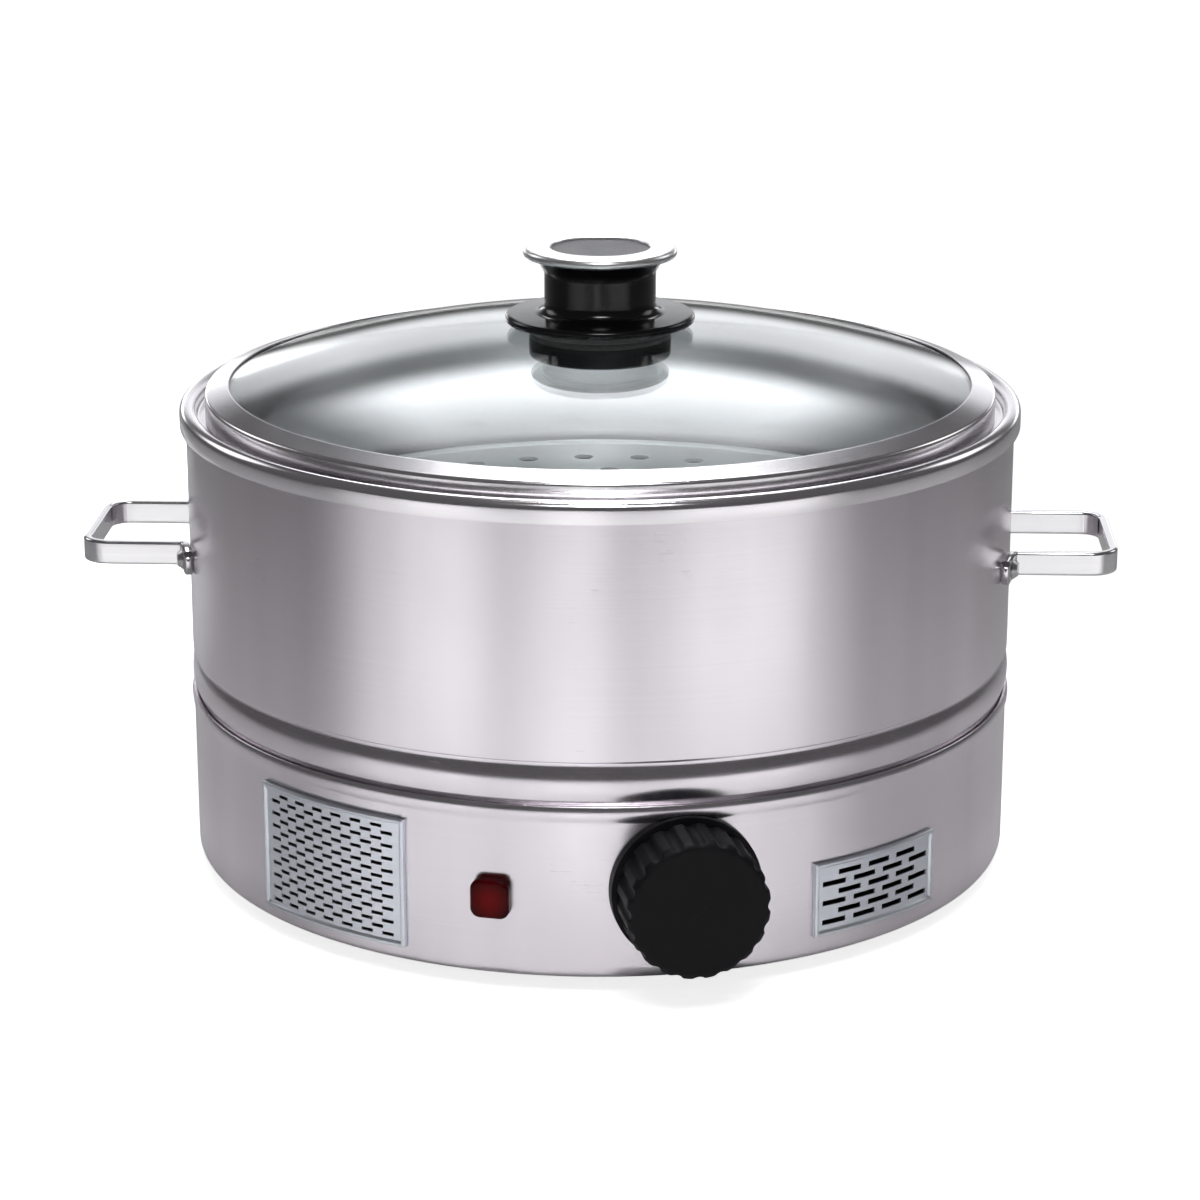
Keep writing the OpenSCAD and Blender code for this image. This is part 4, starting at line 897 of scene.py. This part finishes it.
@dataclass
class VentGrille:
    """Framed panel with staggered slots, curved to the skirt."""

    name: str
    node: str
    angle: float
    width: float
    height: float
    middle_z: float
    slot_w: float
    slot_h: float
    pitch_w: float
    pitch_h: float
    drum_r: float = 138.0
    frame_w: float = 1.8
    collar: float = 0.8
    fit: float = 0.1
    field_t: float = 0.8
    proud: float = 1.6
    crown: float = 0.55
    nose: float = 0.3
    nose_drop: float = 0.45
    sheet: float = 0.7
    edge: float = 0.12

    def opening(self) -> Opening:
        """The window behind the panel, as wide as what its frame leaves.

        Returns:
            The opening in the skirt.
        """
        half = self.height / 2 - self.frame_w
        width = self.width - 2 * self.frame_w
        return Opening(self.angle, width, self.middle_z - half, self.middle_z + half)

    def centres(self) -> tuple[Array, Array]:
        """Middles of the slots, with every second row shifted by half a pitch and one slot shorter.

        Returns:
            Their sideways and their upward places.
        """
        margin = self.frame_w + 2 * self.fit + self.collar
        cols = int((self.width - 2 * margin - self.slot_w) / self.pitch_w + 1e-6)
        rows = int((self.height - 2 * margin - self.slot_h) / self.pitch_h + 1e-6)
        row, col = np.meshgrid(np.arange(rows + 1), np.arange(cols + 1), indexing="ij")
        shift = row % 2
        there = col <= cols - shift
        return ((col + shift / 2 - cols / 2) * self.pitch_w)[there], ((row - rows / 2) * self.pitch_h)[there]

    def lift(self, to_edge: Array) -> Array:
        """Height over the drum: a bead that falls off by squares to both sides of its crown, then the field.

        Args:
            to_edge: Distances from the panel's edge.

        Returns:
            The heights.
        """
        x = to_edge / self.frame_w
        inner, outer = np.clip((x - self.crown) / (1 - self.crown), 0, 1), np.clip(1 - x / self.nose, 0, 1)
        bead = self.proud - (self.proud - self.field_t) * inner**2 - self.nose_drop * outer**2
        return np.where(x < 1, bead, self.field_t)

    def surface(self) -> Surface:
        """Skin of the panel on a grid of its slot edges and frame lines, bent round the drum.

        Returns:
            The skin without its slots.
        """
        s, v = self.centres()
        frame_lines = self.frame_w * np.array([0, 0, 0.06, 0.15, 0.3, 0.55, 0.7, 0.85, 1.0])
        half_w, half_h = self.width / 2, self.height / 2
        across = np.unique(np.round(np.concatenate([s - self.slot_w / 2, s + self.slot_w / 2]), 4))
        upward = np.unique(np.round(np.concatenate([v - self.slot_h / 2, v + self.slot_h / 2]), 4))
        x = np.concatenate([frame_lines - half_w, across, half_w - frame_lines[::-1]])
        y = np.concatenate([frame_lines - half_h, upward, half_h - frame_lines[::-1]])
        gx, gy = np.meshgrid(x, y)
        lift = self.lift(np.minimum(half_w - abs(gx), half_h - abs(gy)))
        lift[[0, -1]], lift[:, [0, -1]] = 0, 0
        a = np.radians(self.angle) + gx / self.drum_r
        r = self.drum_r + self.fit + lift
        points = np.stack([r * np.sin(a), -r * np.cos(a), gy + self.middle_z], -1)
        mx, my = (x[1:] + x[:-1]) / 2, (y[1:] + y[:-1]) / 2
        open_x = abs(mx[None, :, None] - s) < self.slot_w / 2
        open_y = abs(my[:, None, None] - v) < self.slot_h / 2
        return Surface.from_grid(points, uv_grid(x, y), keep=~(open_x & open_y).any(-1))

    def piece(self) -> Piece:
        """The panel as a piece."""
        return Piece(self.name, self.node, "base", Finishes.vent, self.surface(), self.sheet, self.edge)


@dataclass
class Handle:
    """Strap bent to a U with two feet riveted to the drum."""

    name: str
    node: str
    turn: float
    drum_r: float = 138.1
    reach_x: float = 172.5
    width: float = 54.0
    strap_t: float = 3.0
    strap_h: float = 8.0
    strap_edge: float = 0.9
    bend_r: float = 9.0
    foot_bend: float = 2.2
    foot: float = 11.0
    middle_z: float = 110.0

    def path(self) -> Array:
        """Middle line of the strap: along the drum, out, across and back, with rounded bends.

        Returns:
            The points of the line.
        """
        mid_r, arm = self.drum_r + self.strap_t / 2, (self.width - self.strap_t) / 2
        end, far = self.width / 2 + self.foot, self.reach_x - self.strap_t / 2
        tip, near = math.sqrt(mid_r**2 - end**2), math.sqrt(mid_r**2 - arm**2)
        half = [(tip, end, 0), (near, arm, self.foot_bend), (far, arm, self.bend_r - self.strap_t / 2)]
        flat = rounded([(x, -y, r) for x, y, r in half] + half[::-1], closed=False, steps=12)
        return np.column_stack([flat, np.full(len(flat), self.middle_z)])

    def surface(self) -> Surface:
        """The strap's rounded section carried along its path and turned to its side of the drum.

        Returns:
            The strap.
        """
        section = round_box(self.strap_t / 2, self.strap_h / 2, self.strap_edge, 6)
        a = math.radians(self.turn)
        spin = np.array([[math.cos(a), -math.sin(a), 0], [math.sin(a), math.cos(a), 0], UP])
        return sweep_strip(section, self.path()).moved(lambda p: p @ spin.T)

    def piece(self) -> Piece:
        """The handle as a piece."""
        return Piece(self.name, self.node, "base", Finishes.handle, self.surface())


@dataclass
class Controls:
    """Fluted control knob and the pilot lamp's lens."""

    drum_r: float = 138.0
    knob_angle: float = 13.5
    knob_z: float = 36.0
    knob_r: float = 22.5
    knob_t: float = 18.0
    knob_edge: float = 2.5
    knob_hollow: float = 0.4
    knob_chamfer: float = 0.6
    knob_back: float = 141.2
    flutes: int = 20
    flute_steps: int = 24
    flute_r: float = 2.2
    flute_depth: float = 1.2
    flute_blend: float = 0.35
    lamp_angle: float = -11.5
    lamp_z: float = 32.5
    lamp_w: float = 12.4
    lamp_root: float = -2.0
    lamp_step: float = 0.5
    lamp_out: float = 4.0
    lamp_crown: float = 0.2
    lamp_round: float = 3.0
    lamp_edge: float = 0.16

    def knob(self) -> Surface:
        """Knob as a revolved profile whose radius is the lesser of the profile's and the flutes' circles.

        A flute is a circle of radius f about a point at R: at an angle d from it the cut lies at
        R cos d - sqrt(f^2 - (R sin d)^2).

        Returns:
            The knob on the drum.
        """
        r, top, chamfer = self.knob_r, self.knob_t, self.knob_chamfer
        sides = [(r - chamfer, 0, 0.4), (r, chamfer, 0.4), (r, top, self.knob_edge)]
        outline = rounded([(0, self.knob_hollow, 0), *sides, (0, top, 0)], closed=False, steps=10)
        fill = np.linspace(0.92, 0.02, 12)[:, None] * [r - self.knob_edge, 0] + [0, top]
        profile = np.concatenate([outline[:-1], fill, outline[-1:]])
        t = np.linspace(0, 2 * np.pi, self.flutes * self.flute_steps, endpoint=False)
        step = 2 * np.pi / self.flutes
        d = (t + step / 2) % step - step / 2
        far = r + self.flute_r - self.flute_depth
        inside = np.clip(self.flute_r**2 - (far * np.sin(d)) ** 2, 0, None)
        cut = np.where(inside > 0, far * np.cos(d) - np.sqrt(inside), r + 2)
        plain, z = profile[:, :1], profile[:, 1]
        fluted = np.clip(soft_min(plain, cut[None], self.flute_blend), 0, None)
        points = carried_round(np.where(plain < 1, plain, fluted), z, t)
        uv = uv_grid(np.linspace(0, 2 * np.pi * r, len(t) + 1), lengths(profile, False))
        made = Surface.from_grid(points, uv, wrap_cols=True)
        return made.moved(on_drum(self.knob_angle, self.knob_back, self.knob_z))

    def lens(self) -> Surface:
        """Lens as rings of a rounded square, from the drum's surface up its sides and in over the face.

        A ring of scale k on the face lies at out - c (X^2 + Y^2) - e w (1 - sqrt(1 - ((k - 1 + e) / e)^2)),
        with X and Y from -1 to 1 over the lens, c its crown, w its half width and e the rounded edge's share
        of that.

        Returns:
            The lens on the drum.
        """
        half, edge = self.lamp_w / 2, self.lamp_edge
        ring = round_box(half, half, self.lamp_round, 12)
        bend = 1 - edge * (1 - np.cos(np.linspace(0, np.pi / 2, 9)[1:]))
        scale = np.concatenate([[1, 1, 1], bend, [0.7, 0.5, 0.3, 0.1, 0]])
        flat = ring[None] * scale[:, None, None]
        turn = np.clip((scale - 1 + edge) / edge, 0, 1)
        drop = edge * half * (1 - np.sqrt(1 - turn**2))
        height = self.lamp_out - self.lamp_crown * np.square(flat / half).sum(-1) - drop[:, None]
        height[:2] = [[self.lamp_root], [self.lamp_step]]
        points = np.concatenate([flat, height[..., None]], -1)
        rise = np.abs(np.diff(height.mean(1), prepend=0))
        levels = np.cumsum(rise + half * np.abs(np.diff(scale, prepend=1)))
        made = Surface.from_grid(points, uv_grid(lengths(ring, True), levels), wrap_cols=True)
        return made.moved(on_drum(self.lamp_angle, self.drum_r, self.lamp_z))

    def pieces(self) -> list[Piece]:
        """The knob and the lens, which glows from half its height.

        Returns:
            Both pieces.
        """
        stand = on_drum(self.lamp_angle, self.drum_r, self.lamp_z)
        middle = stand(np.array([0, 0, self.lamp_out / 2])) * MM
        lamp = LampLens("lamp_lens_red", "lamp_red", centre=tuple(middle.tolist()))
        return [
            Piece("fluted_knob", "control_knob", "knob", Finishes.knob, self.knob()),
            Piece("pilot_lens", "lamp_lens", "base", lamp, self.lens()),
        ]


@dataclass
class Lid:
    """Glass dome, its steel band, the knob on top and the boss beneath."""

    lid_r: float = 131.5
    lid_z: float = 155.2
    plug_r: float = 126.0
    plug_h: float = 6.0
    ring_t: float = 0.8
    ring_lip: float = 8.0
    gap: float = 0.1
    glass_r: float = 130.6
    glass_t: float = 4.0
    glass_edge: float = 0.9
    glass_margin: float = 1.2
    dome_r: float = 416.603
    apex_z: float = 183.8
    hole_r: float = 4.5
    hole_edge: float = 0.4
    foot_z: float = 184.6
    flange_r: float = 31.5
    flange_t: float = 3.0
    flange_rise: float = 0.6
    post_r: float = 18.5
    neck_r: float = 21.0
    neck_h: float = 0.8
    flare: float = 5.0
    cap_z: float = 206.6
    cap_r: float = 25.5
    cap_t: float = 3.2
    recess_r: float = 16.5
    recess: float = 1.6
    boss_r: float = 23.5
    boss_h: float = 9.0
    boss_hole: float = 2.7

    def dome(self, r: Array | float, inset: float = 0.0) -> Array:
        """Height of the dome at a radius, on a sphere set in from its outside."""
        return self.apex_z - self.dome_r + np.sqrt((self.dome_r - inset) ** 2 - np.square(r))

    def glass_profile(self) -> Array:
        """Loop of the glass: its underside, a rounded edge, its top and the hole.

        Returns:
            The points of the loop.
        """
        rim, hole, cut = self.glass_r, self.hole_r, self.hole_edge
        r = np.linspace(hole + cut, rim - self.glass_margin, 40)
        under = np.stack([r, self.dome(r, self.glass_t)], -1)
        over = np.stack([r[::-1], self.dome(r[::-1])], -1)
        corners = [(rim, self.dome(rim, inset), self.glass_edge) for inset in (self.glass_t, 0.0)]
        edge = rounded([(*under[-1], 0), *corners, (*over[0], 0)], closed=False, steps=6)
        inner = [[hole, over[-1, 1] - cut], [hole, under[0, 1] + cut]]
        return np.concatenate([under[:-1], edge, over[1:], inner])

    def band_profile(self) -> Array:
        """Loop of the rolled band: lip over the glass, outer wall, lip under it and the plug.

        Returns:
            The points of the loop.
        """
        t, wall_r, low_r = self.ring_t, self.lid_r - self.ring_t, self.plug_r - self.ring_t
        lip_r, low_z = self.lid_r - self.ring_lip, self.lid_z - self.plug_h
        over, under = -self.gap, self.glass_t + self.gap
        corners = [
            (low_r, low_z, 0.3),
            (self.plug_r, low_z, 0.3),
            (self.plug_r, self.dome(self.plug_r, under) - t, 0.4),
            (wall_r, self.dome(wall_r, under) - t, 0.2),
            (wall_r, self.lid_z, 0.2),
            (self.lid_r, self.lid_z, 0.3),
            (self.lid_r, self.dome(self.lid_r, over) + t, 1.2),
            (lip_r, self.dome(lip_r, over) + t, 0.35),
            (lip_r, self.dome(lip_r, over), 0.3),
            (wall_r, self.dome(wall_r, over), 0.2),
            (wall_r, self.dome(wall_r, under), 0.2),
            (low_r, self.dome(low_r, under), 0.4),
        ]
        return rounded(corners, steps=6)

    def knob_profile(self) -> Array:
        """Half outline of the lid knob: flange with a half-round edge, filleted post and flared neck.

        Returns:
            The points of the outline.
        """
        low, top = self.foot_z, self.foot_z + self.flange_t
        corners = [
            (0, low, 0),
            (self.flange_r, low, 1.3),
            (self.flange_r, top, 1.4),
            (self.post_r, top + self.flange_rise, 3.6),
            (self.post_r, self.cap_z - self.flare, 4.0),
            (self.neck_r, self.cap_z - self.neck_h, 0.4),
            (self.neck_r, self.cap_z, 0.3),
            (0, self.cap_z, 0),
        ]
        return rounded(corners, closed=False, steps=9)

    def cap_profile(self) -> Array:
        """Half outline of the cap: a disc with a round edge and a recess in its top.

        Returns:
            The points of the outline.
        """
        low, top, floor = self.cap_z, self.cap_z + self.cap_t, self.cap_z + self.cap_t - self.recess
        edge = [(0, low, 0), (self.cap_r, low, 1.4), (self.cap_r, top, 1.7)]
        recess = [(self.recess_r, top, 0.5), (self.recess_r, floor, 0.3), (0, floor, 0)]
        return rounded(edge + recess, closed=False, steps=9)

    def boss_profile(self) -> Array:
        """Loop of the boss under the glass, round its screw's hole.

        Returns:
            The points of the loop.
        """
        low = self.apex_z - self.glass_t - self.boss_h
        r = np.linspace(self.boss_r, self.boss_hole, 12)
        top = np.stack([r, self.dome(r, self.glass_t + self.gap)], -1)
        lower = rounded([(self.boss_hole, low, 0), (self.boss_r, low, 1.5), (*top[0], 0)], closed=False)
        return np.concatenate([lower, top[1:]])

    def pieces(self) -> list[Piece]:
        """The lid's main pieces, each a revolved profile.

        Returns:
            The pieces.
        """
        made = (
            ("glass_dome", "lid_glass", Finishes.glass, revolve(self.glass_profile(), 288)),
            ("lid_band", "lid_ring", Finishes.ring, revolve(self.band_profile(), 360)),
            ("lid_handle", "lid_knob", Finishes.lid_knob, revolve(self.knob_profile(), 144, closed=False)),
            ("lid_handle_cap", "lid_knob_cap", Finishes.cap, revolve(self.cap_profile(), 144, closed=False)),
            ("glass_boss", "lid_boss", Finishes.lid_knob, revolve(self.boss_profile(), 144)),
        )
        return [Piece(name, node, "lid", finish, surface) for name, node, finish, surface in made]


@dataclass
class CarriedNodes:
    """CAD nodes that stay in view, by the finish that they get."""

    finishes: Sequence[tuple[Finish, str]] = (
        (Finishes.plated, "bottom_plate heater_clamp heat_shield shield_spacers"),
        (Finishes.plated, "thermostat_bracket sensor_clip lamp_clip"),
        (Finishes.fastener, "bottom_screws foot_screws heater_studs stud_nuts thermostat_screws"),
        (Finishes.fastener, "inlet_screws earth_screw lid_screw thermostat_shaft handle_rivets"),
        (Finishes.rubber, "foot_front_left foot_front_right foot_rear_left foot_rear_right"),
        (Finishes.aluminium, "heating_plate"),
        (Finishes.element, "heating_element"),
        (Finishes.ceramic, "terminal_insulators"),
        (Finishes.phenolic, "thermal_cutout thermostat_body"),
        (Finishes.copper, "sensor_bulb sensor_capillary"),
        (Finishes.knob, "knob_bezel"),
        (Finishes.lamp_white, "lamp_body"),
        (Finishes.inlet, "inlet_housing"),
        (Finishes.brass, "inlet_pins"),
        (Finishes.brown, "live_wire link_wire"),
        (Finishes.red, "load_wire"),
        (Finishes.blue, "neutral_wire"),
        (Finishes.grey, "lamp_leads"),
        (Finishes.green, "earth_wire"),
        (Finishes.silicone, "lid_gasket"),
        (Finishes.insert, "lid_knob_insert"),
        (Finishes.tray, "steam_tray tray_legs"),
    )
    sharp_angle: float = 28.0

    def dress(self) -> dict[str, Finish]:
        """Gives each node its finish and shades its curved faces smoothly.

        Returns:
            The finish of each node.
        """
        worn = {name: finish for finish, names in self.finishes for name in names.split()}
        for name, finish in worn.items():
            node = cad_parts[name]
            node.data.materials.clear()
            node.data.materials.append(finish.material())
            node.data.polygons.foreach_set("use_smooth", np.ones(len(node.data.polygons), bool))
            node.modifiers.new("weld", "WELD").merge_threshold = 1e-6
            node.modifiers.new("split", "EDGE_SPLIT").split_angle = math.radians(self.sharp_angle)
        return worn


# Studio


@dataclass(frozen=True)
class SoftBox:
    """A soft box: its place, width and height, power, beam in degrees, and the point that it faces.

    It faces straight down if that point is left out, and turn spins it about its beam. Its light fades over
    a share of its width and of its height at each edge. Where it tapers, the end towards its own +Y has that
    share of the other end's width.
    """

    name: str
    at: Triple
    size: tuple[float, float]
    watts: float
    spread: float
    edge: tuple[float, float] = (0.0, 0.0)
    aim: Triple | None = None
    colour: Triple = (1.0, 1.0, 1.0)
    turn: float = 0.0
    taper: float = 1.0


SOFT = (0.3, 0.3)
COOL = (0.94, 0.96, 1.0)
PALE = (0.96, 0.97, 1.0)


@dataclass
class Studio:
    """Pale floor, soft lights and the camera."""

    camera_at: Triple = (0.0504, -1.1549, 0.436)
    pitch_down: float = 16.77
    yaw: float = 2.5
    lens: float = 106.4
    sensor: float = 36.0
    clip_end: float = 50.0
    floor_half: float = 30.0
    surround: float = 0.1
    backdrop: float = 0.89
    boxes: Sequence[SoftBox] = (
        SoftBox("front_box", (0.0, -0.6, 0.6), (7.6, 1.0), 15.8, 9, (0.34, 0.05), taper=0.02),
        SoftBox("left_patch", (-0.41, -0.556, 0.5), (0.5, 0.9), 0.7, 8, (0.2, 0.3), turn=-42, taper=0.18),
        SoftBox("mid_patch", (-0.04, -0.68, 0.5), (0.34, 1.0), 1.0, 8, (0.2, 0.15), turn=-4, taper=0.09),
        SoftBox("right_patch", (0.435, -0.563, 0.5), (1.07, 0.9), 1.3, 8, (0.25, 0.3), turn=42, taper=0.18),
        SoftBox("right_floor", (0.6, -0.03, 0.5), (1.2, 0.8), 0.35, 15, (0.3, 0.2), turn=95, taper=0.2),
        SoftBox("edge_patch", (-0.28, 0.38, 0.6), (0.2, 0.4), 0.22, 12),
        SoftBox("high_key", (0.1, -1.25, 1.45), (1.1, 0.5), 1.0, 34, SOFT, (0, -0.1, 0.12)),
        SoftBox("left_panel", (-1.0, 0.6, 0.7), (0.7, 0.7), 0.7, 90, SOFT, (0, 0, 0.15)),
        SoftBox("right_panel", (1.0, 0.6, 0.7), (0.7, 0.7), 0.6, 90, SOFT, (0, 0, 0.15)),
        SoftBox("left_strip", (-0.72, 1.42, 0.27), (0.8, 0.26), 1.0, 120, SOFT, (-0.72, 0, 0.27)),
        SoftBox("right_strip", (0.68, 1.42, 0.27), (0.8, 0.26), 0.7, 120, SOFT, (0.68, 0, 0.27)),
        SoftBox("back_panel", (-0.07, 1.45, 1.4), (1.14, 1.2), 9.3, 100, (0.22, 0.22), (-0.07, 0, 1.4), COOL),
        SoftBox("low_panel", (-0.02, 1.46, 0.44), (2.0, 0.58), 1.75, 120, SOFT, (-0.02, 0, 0.44), PALE),
        SoftBox("ring_panel", (0.0, 0.85, 1.55), (1.3, 0.4), 0.4, 40, (0.2, 0.2), (0, -0.12, 0.15)),
        SoftBox("pot_light", (0.0, 0.5, 1.25), (0.18, 0.18), 0.24, 9, aim=(0, 0.02, 0.15)),
        SoftBox("far_floor", (0.0, 2.5, 1.6), (2.4, 1.6), 12.0, 100),
    )

    def camera(self) -> None:
        """Camera at the photograph's viewing angle."""
        data = bpy.data.cameras.new("camera")
        data.lens, data.sensor_width, data.clip_end = self.lens, self.sensor, self.clip_end
        made = in_scene("camera", data)
        made.location = self.camera_at
        made.rotation_euler = (math.radians(90 - self.pitch_down), 0, math.radians(self.yaw))
        bpy.context.scene.camera = made

    def floor(self) -> None:
        """Sheet of paper under the steamer."""
        mesh = bpy.data.meshes.new("floor")
        half = self.floor_half
        mesh.from_pydata([(x * half, y * half, 0) for x, y in SQUARE], [], [(0, 1, 2, 3)])
        mesh.materials.append(Paper("floor_paper").material())
        made = in_scene("floor", mesh)

    def light(self, box: SoftBox) -> None:
        """Adds a soft box whose brightness falls off towards its edges.

        Args:
            box: The soft box.
        """
        data = bpy.data.lights.new(box.name, "AREA")
        data.shape, data.size, data.size_y = "RECTANGLE", *box.size
        data.energy, data.color, data.spread = box.watts, box.colour, math.radians(box.spread)
        if any(box.edge):
            data.use_nodes = True
            graph = Graph(data.node_tree)
            spot = graph.add("ShaderNodeNewGeometry").outputs["Parametric"]
            across, along, _ = graph.add("ShaderNodeSeparateXYZ", {0: spot}).outputs
            width = graph.remap(along, 0.0, 1.0, 1.0, box.taper)
            centred = graph.maths("DIVIDE", graph.maths("SUBTRACT", across, 0.5), width)
            ways = (graph.maths("ADD", centred, 0.5), along)
            sides = [self.fade(graph, way, edge) for way, edge in zip(ways, box.edge)]
            graph.feed(data.node_tree.nodes["Emission"].inputs["Strength"], graph.maths("MULTIPLY", *sides))
        made = in_scene(box.name, data)
        made.location = box.at
        beam = Vector(box.aim or (*box.at[:2], 0)) - Vector(box.at)
        made.rotation_euler = beam.to_track_quat("-Z", "Y").to_euler()
        made.rotation_euler.rotate_axis("Z", math.radians(box.turn))

    @staticmethod
    def fade(graph: Graph, way: Socket, edge: float) -> Socket:
        """Rises smoothly from 0 to 1 over the edge at both ends of a way from 0 to 1."""
        inward = graph.maths("MINIMUM", way, graph.maths("SUBTRACT", 1.0, way))
        return graph.remap(inward, 0.0, edge, interpolation_type="SMOOTHSTEP")

    def world(self) -> None:
        """Soft even surround, dim in the reflections and as pale to the eye as the far floor."""
        world = bpy.data.worlds.new("studio")
        world.use_nodes = True
        back = world.node_tree.nodes["Background"].inputs
        graph = Graph(world.node_tree)
        seen = graph.add("ShaderNodeLightPath").outputs["Is Camera Ray"]
        graph.feed(back["Color"], (1.0, 0.98, 1.0, 1))
        graph.feed(back["Strength"], graph.remap(seen, 0.0, 1.0, self.surround, self.backdrop))
        bpy.context.scene.world = world

    def build(self) -> None:
        """Floor, surround, lights and camera."""
        self.floor()
        self.world()
        for box in self.boxes:
            self.light(box)
        self.camera()
        view = bpy.context.scene.view_settings
        view.view_transform, view.look, view.exposure = "Standard", "None", 0.0


def main() -> None:
    """Builds the steamer's pieces, dresses the carried nodes and sets up the studio."""
    logging.basicConfig(level=logging.INFO, format="%(message)s")
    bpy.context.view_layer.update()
    left = VentGrille("left_vent", "left_vent_grille", -35.8, 59.5, 42.5, 33.0, 4.2, 1.1, 7.8, 2.1)
    right = VentGrille("right_vent", "right_vent_grille", 41.9, 51.0, 24.5, 26.0, 8.8, 1.7, 12.0, 3.2)
    pieces = [
        *Casing(openings=[left.opening(), right.opening(), *OTHER_OPENINGS]).pieces(),
        left.piece(),
        right.piece(),
        Handle("right_strap", "right_handle", 0.0).piece(),
        Handle("left_strap", "left_handle", 180.0).piece(),
        *Controls().pieces(),
        *Lid().pieces(),
    ]
    for piece in pieces:
        made = piece.build()
        log.info("%s: %d faces, stands for %s", made.name, len(made.data.polygons), piece.node)
    for name, finish in CarriedNodes().dress().items():
        log.info("%s: CAD node in %s", name, finish.name)
    Studio().build()


if __name__ == "__main__":
    main()
